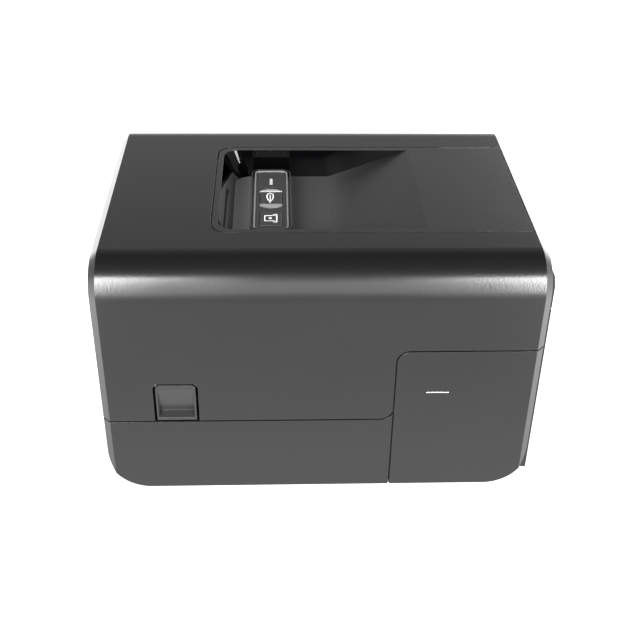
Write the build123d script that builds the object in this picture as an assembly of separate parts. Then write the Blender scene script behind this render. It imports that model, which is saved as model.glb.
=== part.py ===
from build123d import *
from math import acos, atan2, cos, degrees, hypot, pi, radians, sin, sqrt, tan
import os

os.makedirs("parts", exist_ok=True)

# Desktop thermal transfer label printer. Millimetres. The front is -Y, the rear is +Y, Z = 0 is the table.

# Whole casing
body_width = 212.0
body_length = 279.8
body_top = 173.8
foot_height = 3.0
shoulder_radius = 24.0
corner_radius = 28.0
edge_chamfer = 4.7
wall = 2.5
seam_gap = 1.0

# Fits
running_fit = 0.06
air_gap = 0.5
touch_gap = 0.3

# Hinge at the rear of the cover
knuckle_radius = 4.0
hinge_pin_radius = 1.5
knuckle_width = 11.0
hinge_inner = 34.0
hinge_seam = 1.4

# Where the casing is split
split_from_front = 187.3
front_seam_z = 59.3
rear_seam_z = 113.2
split_radius = 8.0
rear_panel_inset = 11.5
rear_panel_top = 136.3
rear_panel_rise = 3.7
rear_panel_proud = 3.2
cover_band_edge_drop = 20.8
cover_band_top_drop = 8.8
cover_band_slope = 1.2
rear_vent_from = 62.0
rear_vent_to = 84.0
rear_vent_low = 76.0
rear_vent_rows = 5
rear_vent_pitch = 6.0
rear_vent_height = 2.4

# Recess in the cover top
tray_half = 62.0
tray_from_front = 72.0
tray_corner = 11.0
rim_width = 3.6
rim_thickness = 0.6
tray_seam = 1.0
recess_depth = 19.8
side_wall_lean = 2.8
front_wall_lean = 7.7
recess_corner = 11.0
ramp_from_front = 149.8
flush_from_front = 207.0
tray_wall = 2.5
skirt_thickness = 1.6
flange_width = 3.5
tray_rear_margin = 5.7
window_thickness = 2.0
window_edge_top = 43.0
window_edge_low = 52.0
grip_slot_from = -16.0
grip_slot_to = 46.0
grip_slot_low = 8.0
grip_slot_height = 4.3
grip_notch_to = 8.0
grip_notch_foot = -56.0
grip_notch_low = 4.5
grip_slit_from = 33.0
grip_slit_to = 47.0
grip_slit_height = 1.4

# Control pad
pad_from_front = 108.9
pad_x = 1.4
pad_half_length = 44.6
pad_half_width = 13.6
pad_rise = 11.8
pad_corner = 6.5
pad_wall = 2.0
pad_post_inset = 5.0
pad_post_half = 9.4
pad_post_radius = 1.4
keypad_margin = 2.2
keypad_lip = 1.0
keypad_drop = 1.2
keypad_thickness = 1.6
keypad_groove = 1.4
keypad_seat = 1.2
light_x = -26.0
light_length = 8.4
light_width = 2.0
mode_x = -1.6
mode_half_length = 8.7
mode_half_width = 7.6
glow_half_length = 15.0
glow_drop = 1.5
feed_x = 27.4
feed_slot = 1.0
feed_half_length = 9.4
feed_half_width = 7.4
button_travel = 0.8
button_proud = 0.3
panel_board_thickness = 1.6

# Cover latches
latch_from_front = 48.0
latch_opening_width = 28.5
latch_side_gap = 1.6
latch_opening_top = 89.4
latch_end_gap = 1.2
latch_depth = 10.4
scoop_depth = 4.6
scoop_side = 1.3
scoop_low = 4.6
scoop_high = 3.2
latch_pin_radius = 1.2
latch_pin_inset = 4.5
latch_pin_drop = 2.4
hook_length = 6.0
hook_width = 10.0
hook_thickness = 2.2
catch_thickness = 1.5
catch_half = 7.0
catch_gear_gap = 4.1
lug_width = 3.5

# Print line
platen_from_front = 22.0
platen_z = 58.0
platen_radius = 7.5
platen_length = 116.0
platen_shaft_radius = 3.0
bearing_radius = 5.5
bearing_width = 5.0
bearing_gap = 3.0
label_gap = 0.4
label_width = 112.0
outlet_low = 61.4
outlet_high = 69.4
fanfold_low = 57.5
fanfold_high = 64.5

# Gears
gear_module = 1.0
gear_width = 5.0
gear_inset = 4.0
platen_teeth = 30
idler_teeth = 28
feed_pinion_teeth = 12
backlash = 0.14
pressure_angle = radians(20)
ribbon_module = 0.8
takeup_teeth = 36
ribbon_pinion_teeth = 14

# Feed motor
feed_motor_side = 35.0
feed_motor_length = 28.0
feed_motor_z = 27.0
feed_motor_back = 33.0
motor_shaft_radius = 2.5
bracket_thickness = 1.5

# Media bay
roll_radius = 63.5
roll_clearance = 4.0
roll_from_rear = 79.5
roll_z = 92.0
deck_z = 48.0
deck_wall = 2.5
bay_half = 70.0
rear_deck_z = 106.0

# Roll holders
holder_half = 59.5
holder_thickness = 4.0
holder_width = 34.0
holder_top = 24.0
hub_radius = 18.0
hub_length = 12.0
hub_axle_radius = 5.0
holder_travel = 36.0
rack_teeth = 22
rack_height = 4.0
rack_width = 5.0
sync_teeth = 16
bed_z = 13.0
bed_thickness = 2.0
neck_width = 9.0
bed_margin = 4.5
sync_post = 2.5
mesh_ease = 0.1

# Chassis
chassis_floor = 3.0
chassis_gap = 2.5
right_web_gap = 6.0
web_thickness = 2.5
board_thickness = 1.6
board_z = 11.5
board_half = 75.0
board_depth = 50.0

# Rear sockets
port_low = 10.8
port_plate_thickness = 1.0
port_plate_half = 72.0
port_plate_height = 23.0
jack_x = -58.0
usb_x = -30.0
network_x = -4.0
serial_x = 30.0
rocker_x = 61.0
rocker_half_width = 6.5
rocker_half_height = 9.5
rocker_tilt = 7.0
rocker_gap = 0.4
rocker_rim = 2.6
rocker_pin_radius = 1.2
rocker_pivot_depth = 4.0

# Sensor
sensor_from_front = 50.0
sensor_rail_width = 5.0
sensor_rail_height = 3.0
sensor_width = 14.0
sensor_lift = 6.0

# Ribbon drive and print head, carried by the cover
frame_half = 67.0
frame_wall = 2.5
frame_inset = 11.0
frame_low = 86.0
frame_bar_width = 4.0
frame_bar_height = 8.0
front_bar_rise = 14.0
rear_bar_reach = 15.0
rear_bar_rise = 12.0
takeup_from_front = 31.5
takeup_drop = 30.8
supply_from_front = 71.5
supply_drop = 55.8
spindle_radius = 6.0
spindle_half = 62.0
spindle_pin_radius = 3.0
ribbon_motor_radius = 12.0
ribbon_motor_clear = 6.0
ribbon_motor_angle = radians(-40)
head_pivot_from_front = 52.0
head_pivot_z = 96.0
head_pin_radius = 2.5
head_depth = 20.0
head_plate = 1.6
head_spring_radius = 3.0
head_arm = 3.0
head_before_platen = 8.0
head_seat = 7.0
head_fins = 9.0
head_spring_length = 11.0
head_spring_x = 38.0
drive_gap = 1.5

# Hatch in the bottom
hatch_half = 58.0
hatch_from_front = 81.5
hatch_length = 146.0
hatch_fit = 0.25
hatch_screw_inset = 7.0
vent_half = 30.0
vent_width = 3.0
vent_pitch = 10.0
vent_margin = 14.0

# Rubber feet and screws
foot_radius = 9.0
foot_inset_x = 30.0
foot_inset_y = 38.0
foot_pocket = 1.2
screw_radius = 1.5
screw_head_radius = 3.0
screw_head_height = 2.0

# Places worked out from the sizes above
half_width = body_width / 2
rear_panel_half = half_width - rear_panel_inset
y_front = -(body_length + rear_panel_proud + knuckle_radius) / 2
shell_rear = y_front + body_length
y_rear = shell_rear + rear_panel_proud
tray_front = y_front + tray_from_front
tray_rear = shell_rear - tray_rear_margin
floor_z = body_top - recess_depth
rim_z = body_top - rim_thickness
wall_front = tray_front + rim_width
ramp_start = y_front + ramp_from_front
ramp_end = y_front + flush_from_front
split_y = y_front + split_from_front
hinge_y = y_rear
hinge_z = rear_panel_top + hinge_seam / 2
pad_y = y_front + pad_from_front
pad_top = floor_z + pad_rise
face_z = pad_top - keypad_drop
keypad_half_length = pad_half_length - keypad_margin
keypad_half_width = pad_half_width - keypad_margin
platen_y = y_front + platen_from_front
roll_y = y_rear - roll_from_rear
trough_radius = roll_radius + roll_clearance
front_deck_half = half_width - wall - air_gap
gear_x = -(bay_half + gear_inset + gear_width)
chassis_half = chassis_gap + web_thickness - gear_x
takeup_y = y_front + takeup_from_front
takeup_z = body_top - takeup_drop
supply_y = y_front + supply_from_front
supply_z = body_top - supply_drop
head_pivot_y = y_front + head_pivot_from_front
casing_low = foot_height
cover_band_low = hinge_z + hinge_seam / 2
cover_band_edge = body_top - cover_band_edge_drop
cover_band_top = body_top - cover_band_top_drop
floor_top = casing_low + wall
tower_in = platen_length / 2 + bearing_gap
tower_out = tower_in + bearing_width
hatch_front = y_front + hatch_from_front
hatch_rear = hatch_front + hatch_length
sensor_y = y_front + sensor_from_front
sensor_z = deck_z + sensor_lift
sensor_post = label_width / 2 + 1
feed_motor_y = platen_y + feed_motor_back
bed_half = holder_half + holder_thickness + bed_margin
sync_pitch = gear_module * sync_teeth / 2
sync_shift = sync_pitch + mesh_ease
rack_z = bed_z + bed_thickness + touch_gap
rocker_z = port_low + port_plate_height / 2
rocker_pivot_y = y_rear - rocker_pivot_depth
head_y = platen_y - head_before_platen
head_low = platen_z + platen_radius + label_gap
spring_top = head_low + head_plate + head_seat + head_spring_length
ribbon_gear_x = -(frame_half + frame_wall + drive_gap + gear_width)
ribbon_motor_face = ribbon_gear_x - drive_gap
ribbon_motor_length = half_width - wall - ribbon_motor_clear + ribbon_motor_face
board_top = floor_z + panel_board_thickness


def box(x0, x1, y0, y1, z0, z1):
    corner = (Align.MIN, Align.MIN, Align.MIN)
    return Pos(x0, y0, z0) * Box(x1 - x0, y1 - y0, z1 - z0, align=corner)


def along_x(sketch, x0, x1):
    """A sketch drawn in Y and Z, drawn out from x0 to x1."""
    return Pos(x0, 0, 0) * extrude(Plane.YZ * sketch, x1 - x0)


def along_y(sketch, y0, y1):
    """A sketch drawn in X and Z, drawn out from y0 to y1."""
    return Pos(0, y0, 0) * extrude(Plane.XZ * sketch, y0 - y1)


def along_z(sketch, z0, z1):
    return Pos(0, 0, z0) * extrude(sketch, z1 - z0)


def area(u0, u1, v0, v1):
    """A plain rectangle between two corners."""
    return Pos(u0, v0) * Rectangle(u1 - u0, v1 - v0, align=(Align.MIN, Align.MIN))


def outline(*points):
    return make_face(Polyline(*points, close=True))


def rod_x(x0, x1, y, z, radius):
    low = (Align.CENTER, Align.CENTER, Align.MIN)
    return Pos(x0, y, z) * Rot(0, 90, 0) * Cylinder(radius, x1 - x0, align=low)


def rod_y(y0, y1, x, z, radius):
    low = (Align.CENTER, Align.CENTER, Align.MIN)
    return Pos(x, y0, z) * Rot(-90, 0, 0) * Cylinder(radius, y1 - y0, align=low)


def rod_z(z0, z1, x, y, radius):
    low = (Align.CENTER, Align.CENTER, Align.MIN)
    return Pos(x, y, z0) * Cylinder(radius, z1 - z0, align=low)


def both_sides(shape):
    """The shape and its mirror image across the middle of the printer."""
    return shape + mirror(shape, Plane.YZ)


def as_part(shape):
    solids = list(shape.solids())
    return solids[0] if len(solids) == 1 else Compound(children=solids)


def save(shape, name):
    export_step(as_part(shape), f"parts/{name}.step")


def body_form(inset):
    """Outer form of the casing, drawn in by the inset on every face."""
    half = half_width - inset
    low = casing_low + inset
    high = body_top - inset
    front = y_front + inset
    rear = shell_rear - inset
    shoulder = shoulder_radius - inset
    section = area(-half, half, low, high)
    section = fillet(section.vertices().group_by(Axis.Y)[-1], shoulder)
    form = along_y(section, front, rear)
    ends = form.edges().group_by(Axis.Y)
    rims = [edge for edge in ends[0] + ends[-1] if (edge @ 0.5).Z > low + wall]
    form = chamfer(rims, edge_chamfer - (2 - sqrt(2)) * inset)
    profile = area(front, rear, low, high)
    profile = fillet(profile.vertices().group_by(Axis.Y)[0], corner_radius - inset)
    return form & along_x(profile, -half, half)


outer_form = body_form(0)
inner_form = body_form(wall)
casing_shell = outer_form - inner_form
beyond = 20.0


def cover_zone(grow):
    """Side view of the space that the cover takes, grown by the seam where it is cut from the base."""
    low = front_seam_z + seam_gap / 2 - grow
    high = rear_seam_z + seam_gap / 2 - grow
    step = split_y - seam_gap / 2 + grow
    zone = area(y_front - beyond, step, low, body_top + beyond)
    corner = zone.vertices().sort_by(lambda v: v.Y - v.X)[0]
    zone = fillet(corner, split_radius + grow)
    over = area(step, y_rear + beyond, high, body_top + beyond)
    fill = area(step, step + split_radius, high - split_radius, high)
    fill -= Pos(step + split_radius + seam_gap - grow, high - split_radius - seam_gap + grow) * Circle(
        split_radius + seam_gap - grow)
    return zone + over + fill


def hinge_spans():
    """Knuckle spans on the +X side: base, cover, base."""
    start = hinge_inner
    spans = []
    for owner in ("base", "cover", "base"):
        spans.append((owner, start, start + knuckle_width))
        start += knuckle_width + air_gap
    return spans


def knuckles(owner):
    """Hinge knuckles of the cover or the base, with their pin bores."""
    made = []
    for who, x0, x1 in hinge_spans():
        if who == owner:
            knuckle = rod_x(x0, x1, hinge_y, hinge_z, knuckle_radius)
            knuckle -= rod_x(x0, x1, hinge_y, hinge_z, hinge_pin_radius + running_fit)
            made.append(knuckle)
    return both_sides(Part() + made)


def knuckle_room(owner):
    """Space cut from the other half so that the knuckles of one half turn freely."""
    made = []
    for who, x0, x1 in hinge_spans():
        if who == owner:
            made.append(rod_x(x0 - air_gap, x1 + air_gap, hinge_y, hinge_z, knuckle_radius + air_gap))
    return both_sides(Part() + made)


def pin_room():
    ends = hinge_inner + 3 * knuckle_width + 2 * air_gap
    return both_sides(rod_x(hinge_inner, ends, hinge_y, hinge_z, hinge_pin_radius + running_fit))


def latch_opening():
    y = y_front + latch_from_front
    half = latch_opening_width / 2
    low = front_seam_z - beyond
    sketch = area(y - half, y + half, low, latch_opening_top)
    sketch = chamfer(sketch.vertices().group_by(Axis.Y)[-1], 3.0)
    return along_x(sketch, half_width - wall - beyond, half_width + beyond)


def tray_plan(grow, rear):
    """Plan of the insert in the cover top, with round front corners."""
    half = tray_half + grow
    plan = area(-half, half, tray_front - grow, rear)
    return fillet(plan.vertices().group_by(Axis.Y)[0], tray_corner + grow)


def recess_form(grow):
    """The hollow of the recess down to its floor level, with leaning walls and round front corners."""
    half = tray_half - rim_width + grow
    top = area(-half, half, wall_front - grow, tray_rear + beyond)
    top = fillet(top.vertices().group_by(Axis.Y)[0], recess_corner + grow)
    low_half = half - side_wall_lean
    low = area(-low_half, low_half, wall_front + front_wall_lean - grow, tray_rear + beyond)
    low = fillet(low.vertices().group_by(Axis.Y)[0], recess_corner + grow)
    return loft([Pos(0, 0, floor_z) * low, Pos(0, 0, rim_z) * top], ruled=True)


def floor_line(drop):
    """Side view of what lies under the recess floor and ramp, lowered by the drop."""
    return outline(
        (wall_front - beyond, floor_z - beyond),
        (wall_front - beyond, floor_z - drop),
        (ramp_start, floor_z - drop),
        (ramp_end, body_top - drop),
        (tray_rear + beyond, body_top - drop),
        (tray_rear + beyond, floor_z - beyond),
    )


def cover_band():
    """Side view of the raised band on the cover's rear wall, which carries the cover's hinge knuckles."""
    return outline(
        (shell_rear - wall, cover_band_low),
        (y_rear, cover_band_low),
        (y_rear, cover_band_edge),
        (y_rear - cover_band_slope, (cover_band_edge + 2 * cover_band_top) / 3),
        (shell_rear, cover_band_top),
        (shell_rear - wall, cover_band_top),
    )


def make_top_cover():
    shell = casing_shell & along_x(cover_zone(0), -half_width, half_width)
    panel = rear_panel_half + seam_gap
    shell -= box(-panel, panel, shell_rear - wall - edge_chamfer - air_gap, y_rear + 1, casing_low,
                 cover_band_low)
    shell += along_x(cover_band(), -rear_panel_half, rear_panel_half)
    hollow = rear_panel_half - wall
    shell -= box(-hollow, hollow, shell_rear - 2 * wall, y_rear - wall, cover_band_low - 1, cover_band_edge)
    shell -= along_z(tray_plan(tray_seam, tray_rear + seam_gap / 2), body_top - 2 * wall, body_top + 1)
    shell -= box(-label_width / 2 - 4, label_width / 2 + 4, y_front - 1, y_front + wall + edge_chamfer,
                 front_seam_z - 5, outlet_high + 2)
    shell -= both_sides(latch_opening())
    shell += both_sides(latch_lugs())
    shell -= knuckle_room("base")
    shell += knuckles("cover")
    shell -= pin_room()
    return shell


def make_rear_lower_case():
    zone = area(split_y + seam_gap / 2, y_rear + beyond, casing_low - 1, rear_seam_z - seam_gap / 2)
    top_corner = zone.vertices().sort_by(lambda v: v.X - v.Y)[0]
    zone = fillet(top_corner, split_radius)
    case = casing_shell & along_x(zone, -half_width, half_width)
    panel = rear_panel_half
    low = casing_low + rear_panel_rise
    block_front = shell_rear - corner_radius
    hollow = panel - wall
    case -= box(-hollow, hollow, block_front, y_rear + 1, casing_low - 1, casing_low + corner_radius)
    case -= box(-hollow, hollow, shell_rear - 2 * wall, y_rear + 1, casing_low - 1, rear_seam_z + 1)
    case += box(-panel, panel, y_rear - wall, y_rear, low, rear_panel_top)
    case += box(-panel, panel, block_front, y_rear, low, low + wall)
    cheek = box(hollow, panel, block_front, y_rear, low, casing_low + corner_radius)
    cheek += box(hollow, panel, shell_rear - wall, y_rear, low, rear_panel_top)
    case += both_sides(cheek)
    case += box(-panel, panel, block_front - wall, block_front, casing_low, low + wall)
    plate = port_plate_half
    case -= box(-plate, plate, y_rear - wall - 1, y_rear + 1, port_low, port_low + port_plate_height)
    slot = label_width / 2 + 3
    case -= box(-slot, slot, y_rear - wall - 1, y_rear + 1, fanfold_low, fanfold_high)
    for row in range(rear_vent_rows):
        z = rear_vent_low + row * rear_vent_pitch
        vent = box(rear_vent_from, rear_vent_to, y_rear - wall - 1, y_rear + 1, z, z + rear_vent_height)
        case -= both_sides(vent)
    case -= knuckle_room("cover")
    case += knuckles("base")
    case -= pin_room()
    case -= hatch_room(hatch_fit)
    case -= foot_pockets()
    return case


def make_front_lower_case():
    zone = area(y_front - beyond, split_y - seam_gap / 2, casing_low - 1, front_seam_z + split_radius)
    zone -= cover_zone(seam_gap)
    case = casing_shell & along_x(zone, -half_width, half_width)
    mouth = label_width / 2 + 4
    case -= box(-mouth, mouth, y_front - 1, y_front + wall + 1, outlet_low - 6, front_seam_z + 5)
    case -= hatch_room(hatch_fit)
    case -= foot_pockets()
    return case


def foot_places():
    x = half_width - foot_inset_x
    return [(sx * x, y) for sx in (-1, 1) for y in (y_front + foot_inset_y, y_rear - foot_inset_y)]


def foot_pockets():
    top = casing_low + foot_pocket
    return Part() + [rod_z(casing_low - 1, top, x, y, foot_radius + 0.2) for x, y in foot_places()]


def make_rubber_feet():
    feet = []
    for x, y in foot_places():
        foot = rod_z(0, casing_low + foot_pocket, x, y, foot_radius)
        feet.append(chamfer(foot.edges().group_by(Axis.Z)[0], 0.8))
    return Part() + feet


def hatch_room(gap):
    return box(-hatch_half - gap, hatch_half + gap, hatch_front - gap, hatch_rear + gap,
               casing_low - 1, floor_top + 1)


def make_bottom_hatch():
    plate = box(-hatch_half, hatch_half, hatch_front, hatch_rear, casing_low, floor_top)
    y = hatch_front + vent_margin
    while y + vent_width < hatch_rear - 4 * vent_margin:
        plate -= box(-vent_half, vent_half, y, y + vent_width, casing_low - 1, floor_top + 1)
        y += vent_pitch
    for x, y in hatch_screws():
        plate -= rod_z(casing_low - 1, floor_top + 1, x, y, screw_radius + 0.2)
        plate -= rod_z(casing_low - 1, casing_low + 0.2, x, y, screw_head_radius + 0.3)
    return plate


def hatch_screws():
    x = hatch_half - hatch_screw_inset
    ends = (hatch_front + hatch_screw_inset, hatch_rear - hatch_screw_inset)
    return [(side * x, y) for side in (-1, 1) for y in ends]


def deck_sketch(drop):
    """Side view of the open space over the media bay deck, grown downwards by the drop."""
    front = y_front + wall + air_gap
    rear = shell_rear - wall - air_gap
    top = body_top
    open_space = area(front, roll_y, deck_z - drop, top)
    open_space += Pos(roll_y, roll_z) * Circle(trough_radius + drop)
    open_space += area(roll_y, roll_y + trough_radius + drop, roll_z, top)
    open_space += area(roll_y, rear, rear_deck_z - drop, top)
    return open_space


def make_media_bay():
    front = y_front + wall + air_gap
    rear = shell_rear - wall - air_gap
    limit = area(front, rear, casing_low + wall, rear_deck_z)
    skin = (deck_sketch(deck_wall) - deck_sketch(0)) & limit
    bay = along_x(skin, -bay_half, bay_half)
    cheek = (deck_sketch(deck_wall) & limit) & area(split_y + 4, rear, 0, rear_deck_z)
    bay += both_sides(along_x(cheek, bay_half, bay_half + deck_wall))
    low_cheek = deck_sketch(deck_wall) & area(front, split_y + 4 + deck_wall, 0, deck_z + 6)
    bay += both_sides(along_x(low_cheek, bay_half, bay_half + deck_wall))
    deck = box(bay_half, front_deck_half, front + 4, split_y - seam_gap / 2, deck_z - deck_wall, deck_z)
    bay += both_sides(deck)
    side_deck = box(bay_half, front_deck_half, split_y + 4, rear - 4, rear_deck_z - deck_wall, rear_deck_z)
    bay += both_sides(side_deck)
    bulkhead = box(bay_half, front_deck_half, split_y + 4, split_y + 4 + deck_wall, deck_z - deck_wall,
                   rear_deck_z)
    bay += both_sides(bulkhead)
    slot = label_width / 2 + 3
    bay -= box(-slot, slot, roll_y + trough_radius / 2, y_rear, fanfold_low - 1, fanfold_high + 1)
    tower = box(tower_in, tower_out, platen_y - 9, platen_y + 9, deck_z, platen_z + 6)
    bay += both_sides(tower)
    bay -= rod_x(-tower_out - 1, tower_out + 1, platen_y, platen_z, bearing_radius + running_fit)
    bay -= box(gear_x - 1.5, -tower_out - 1, front - 1, feed_motor_y + 22, deck_z - 10, deck_z + 20)
    for side in (-1, 1):
        x0 = side * (holder_half - holder_travel - 1)
        x1 = side * (holder_half + holder_thickness + 1)
        bay -= box(min(x0, x1), max(x0, x1), roll_y - neck_width / 2 - 1, roll_y + neck_width / 2 + 1,
                   roll_z - trough_radius - deck_wall - 8, roll_z - trough_radius + 8)
    for x in (-sensor_post, sensor_post):
        bay += box(x - 2, x + 2, sensor_y - 4, sensor_y + 4, deck_z, sensor_z + 4)
    bay -= box(-sensor_post - 3, sensor_post + 3, sensor_y - sensor_rail_width / 2,
               sensor_y + sensor_rail_width / 2, sensor_z - sensor_rail_height / 2,
               sensor_z + sensor_rail_height / 2)
    return bay


def make_base_chassis():
    low = floor_top
    high = low + chassis_floor
    front = y_front + corner_radius + 1
    rear = shell_rear - corner_radius - wall - 1
    frame = box(-chassis_half, chassis_half, front, rear, low, high)
    web = web_thickness
    right = bay_half + right_web_gap
    frame += box(right, right + web, front, split_y, high, deck_z - deck_wall)
    frame += box(-chassis_half, -chassis_half + web, front, split_y, high, deck_z - deck_wall)
    rear_web = box(right, right + web, split_y + 4 + deck_wall + air_gap, rear, high, rear_deck_z - deck_wall)
    frame += both_sides(rear_web)
    for x, y in hatch_screws():
        frame += rod_z(low, high + 4, x, y, 3.5)
        frame -= rod_z(low - 1, high + 3.5, x, y, screw_radius)
    for x in (-bed_half + 4, bed_half - 4):
        frame += rod_z(high, bed_z, x, roll_y, 4)
    return frame


def make_holder_bed():
    """Bed plate under the trough, with lips that guide both racks and a post for the pinion."""
    half_y = sync_shift + rack_width + 0.4 + 2
    bed = box(-bed_half, bed_half, roll_y - half_y, roll_y + half_y, bed_z, bed_z + bed_thickness)
    lip_top = bed_z + bed_thickness + 3
    bed += box(-bed_half, bed_half, roll_y + half_y - 2, roll_y + half_y, bed_z, lip_top)
    bed += box(-bed_half, bed_half, roll_y - half_y, roll_y - half_y + 2, bed_z, lip_top)
    bed += rod_z(bed_z, bed_z + bed_thickness + rack_height + 1, 0, roll_y, sync_post)
    return bed


def involute(angle):
    return tan(angle) - angle


def gear_sketch(module, teeth, phase):
    """Spur gear outline with involute flanks. The phase is the angle of one tooth's centre."""
    pitch = module * teeth / 2
    base = pitch * cos(pressure_angle)
    tip = pitch + 0.9 * module
    root = pitch - 1.15 * module
    half_tooth = (pi / 2 - backlash / module) / teeth + involute(pressure_angle)
    radii = [max(base, root) + (tip - max(base, root)) * step / 3 for step in range(4)]
    flank = [(root, half_tooth)] if root < base else []
    flank += [(radius, half_tooth - involute(acos(min(1.0, base / radius)))) for radius in radii]
    points = []
    for tooth in range(teeth):
        centre = phase + 2 * pi * tooth / teeth
        for radius, offset in flank:
            points.append((radius * cos(centre - offset), radius * sin(centre - offset)))
        for radius, offset in reversed(flank):
            points.append((radius * cos(centre + offset), radius * sin(centre + offset)))
    return outline(*points)


def mesh_phase(phase, teeth, other_teeth, heading):
    """Phase of a second gear whose centre lies at the heading: its gap takes the first one's tooth."""
    return heading + pi + (pi - (phase - heading) * teeth) / other_teeth


def gear_x_axis(module, teeth, phase, y, z, x0, bore, hub_radius_extra, hub_side):
    """Gear on an axis along X, with a short hub on one side."""
    gear = along_x(Pos(y, z) * gear_sketch(module, teeth, phase), x0, x0 + gear_width)
    hub = bore + hub_radius_extra
    if hub_side > 0:
        gear += rod_x(x0, x0 + gear_width + 2, y, z, hub)
    elif hub_side < 0:
        gear += rod_x(x0 - 2, x0 + gear_width, y, z, hub)
    return gear - rod_x(x0 - 5, x0 + gear_width + 5, y, z, bore)


def gear_centres():
    """Where the idler stands between the platen gear and the feed motor's pinion."""
    first = gear_module * (platen_teeth + idler_teeth) / 2 + mesh_ease
    second = gear_module * (idler_teeth + feed_pinion_teeth) / 2 + mesh_ease
    across = feed_motor_y - platen_y
    down = feed_motor_z - platen_z
    reach = hypot(across, down)
    bend = acos((first ** 2 + reach ** 2 - second ** 2) / (2 * first * reach))
    heading = atan2(down, across) + bend
    idler_y = platen_y + first * cos(heading)
    idler_z = platen_z + first * sin(heading)
    return idler_y, idler_z, heading, atan2(feed_motor_z - idler_z, feed_motor_y - idler_y)


def make_platen_roller():
    half = platen_length / 2
    return rod_x(-half, half, platen_y, platen_z, platen_radius) - rod_x(
        -half, half, platen_y, platen_z, platen_shaft_radius)


def make_platen_shaft():
    return rod_x(gear_x - 2, tower_out + 3, platen_y, platen_z, platen_shaft_radius)


def make_platen_bearing(side):
    flange = rod_x(tower_out, tower_out + 1.2, platen_y, platen_z, bearing_radius + 1.5)
    bearing = rod_x(tower_in, tower_out + 0.5, platen_y, platen_z, bearing_radius) + flange
    bearing -= rod_x(tower_in - 1, tower_out + 4, platen_y, platen_z, platen_shaft_radius + running_fit)
    return bearing if side > 0 else mirror(bearing, Plane.YZ)


def make_motor_bracket():
    """Steel plate that carries the feed motor and the idler's post."""
    idler_y, idler_z, heading, second = gear_centres()
    x0 = -bay_half - 1.5
    x1 = x0 + bracket_thickness
    side = feed_motor_side / 2
    plate = box(x0, x1, feed_motor_y - side, feed_motor_y + side, floor_top + chassis_floor,
                feed_motor_z + side)
    plate += box(x0, x1, idler_y - 8, feed_motor_y, floor_top + chassis_floor, idler_z + 6)
    plate -= rod_x(x0 - 1, x1 + 1, feed_motor_y, feed_motor_z, motor_shaft_radius + 2)
    plate += rod_x(gear_x - 1, x1, idler_y, idler_z, 2.0)
    plate += box(x0, x1 + 10, feed_motor_y - side, feed_motor_y + side, floor_top + chassis_floor,
                 floor_top + chassis_floor + bracket_thickness)
    return plate


def make_feed_motor():
    x0 = -bay_half
    side = feed_motor_side / 2
    low = floor_top + chassis_floor + bracket_thickness
    motor = box(x0, x0 + feed_motor_length, feed_motor_y - side, feed_motor_y + side, low,
                feed_motor_z + side)
    motor = chamfer(motor.edges().filter_by(Axis.X), 3.0)
    groove = feed_motor_length * 0.28
    band = box(x0 + groove, x0 + feed_motor_length - groove, feed_motor_y - side, feed_motor_y + side,
               low, feed_motor_z + side)
    core = box(x0, x0 + feed_motor_length, feed_motor_y - side + 0.8, feed_motor_y + side - 0.8,
               low + 0.8, feed_motor_z + side - 0.8)
    motor -= band - core
    motor += rod_x(x0 - 2, x0, feed_motor_y, feed_motor_z, motor_shaft_radius + 1.5)
    return motor


def make_feed_pinion():
    idler_y, idler_z, heading, second = gear_centres()
    idler_phase = mesh_phase(0, platen_teeth, idler_teeth, heading)
    phase = mesh_phase(idler_phase, idler_teeth, feed_pinion_teeth, second)
    gear = along_x(Pos(feed_motor_y, feed_motor_z) * gear_sketch(gear_module, feed_pinion_teeth, phase),
                   gear_x, gear_x + gear_width)
    return gear + rod_x(gear_x, -bay_half - 2.3, feed_motor_y, feed_motor_z, motor_shaft_radius)


def make_idler_gear():
    idler_y, idler_z, heading, second = gear_centres()
    phase = mesh_phase(0, platen_teeth, idler_teeth, heading)
    return gear_x_axis(gear_module, idler_teeth, phase, idler_y, idler_z, gear_x, 2.0 + running_fit, 3, 1)


def make_platen_gear():
    return gear_x_axis(gear_module, platen_teeth, 0, platen_y, platen_z, gear_x, platen_shaft_radius, 3, 1)


def make_outlet_bezel():
    """Lower lip of the label outlet, seated in the front of the lower casing."""
    half = label_width / 2 + 3.6
    lip = outline(
        (y_front + 0.4, outlet_low - 5.6),
        (y_front + 0.4, outlet_low - 2.5),
        (y_front + 2.4, outlet_low - 0.6),
        (platen_y - platen_radius - 1, outlet_low),
        (platen_y - platen_radius - 1, outlet_low - 2),
        (y_front + wall + 1.8, outlet_low - 3),
        (y_front + wall + 1.8, deck_z),
        (y_front + wall + 0.6, deck_z),
        (y_front + wall + 0.6, outlet_low - 5.6),
    )
    return along_x(lip, -half, half)


def make_tear_bar():
    """Toothed steel strip over the label outlet, fixed inside the cover's front wall."""
    half = label_width / 2
    y0 = y_front + wall
    strip = box(-half, half, y0, y0 + 1.0, outlet_high, outlet_high + 9)
    pitch = 4.0
    count = int(2 * half / pitch)
    points = [(-half, outlet_high + 0.5)]
    for tooth in range(count):
        x = -half + tooth * pitch
        points.append((x + pitch / 2, outlet_high - 1.5))
        points.append((x + pitch, outlet_high + 0.5))
    points.append((half, outlet_high + 0.5 + 1))
    points.append((-half, outlet_high + 0.5 + 1))
    teeth = along_y(outline(*points), y0, y0 + 1.0)
    return strip + teeth


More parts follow.
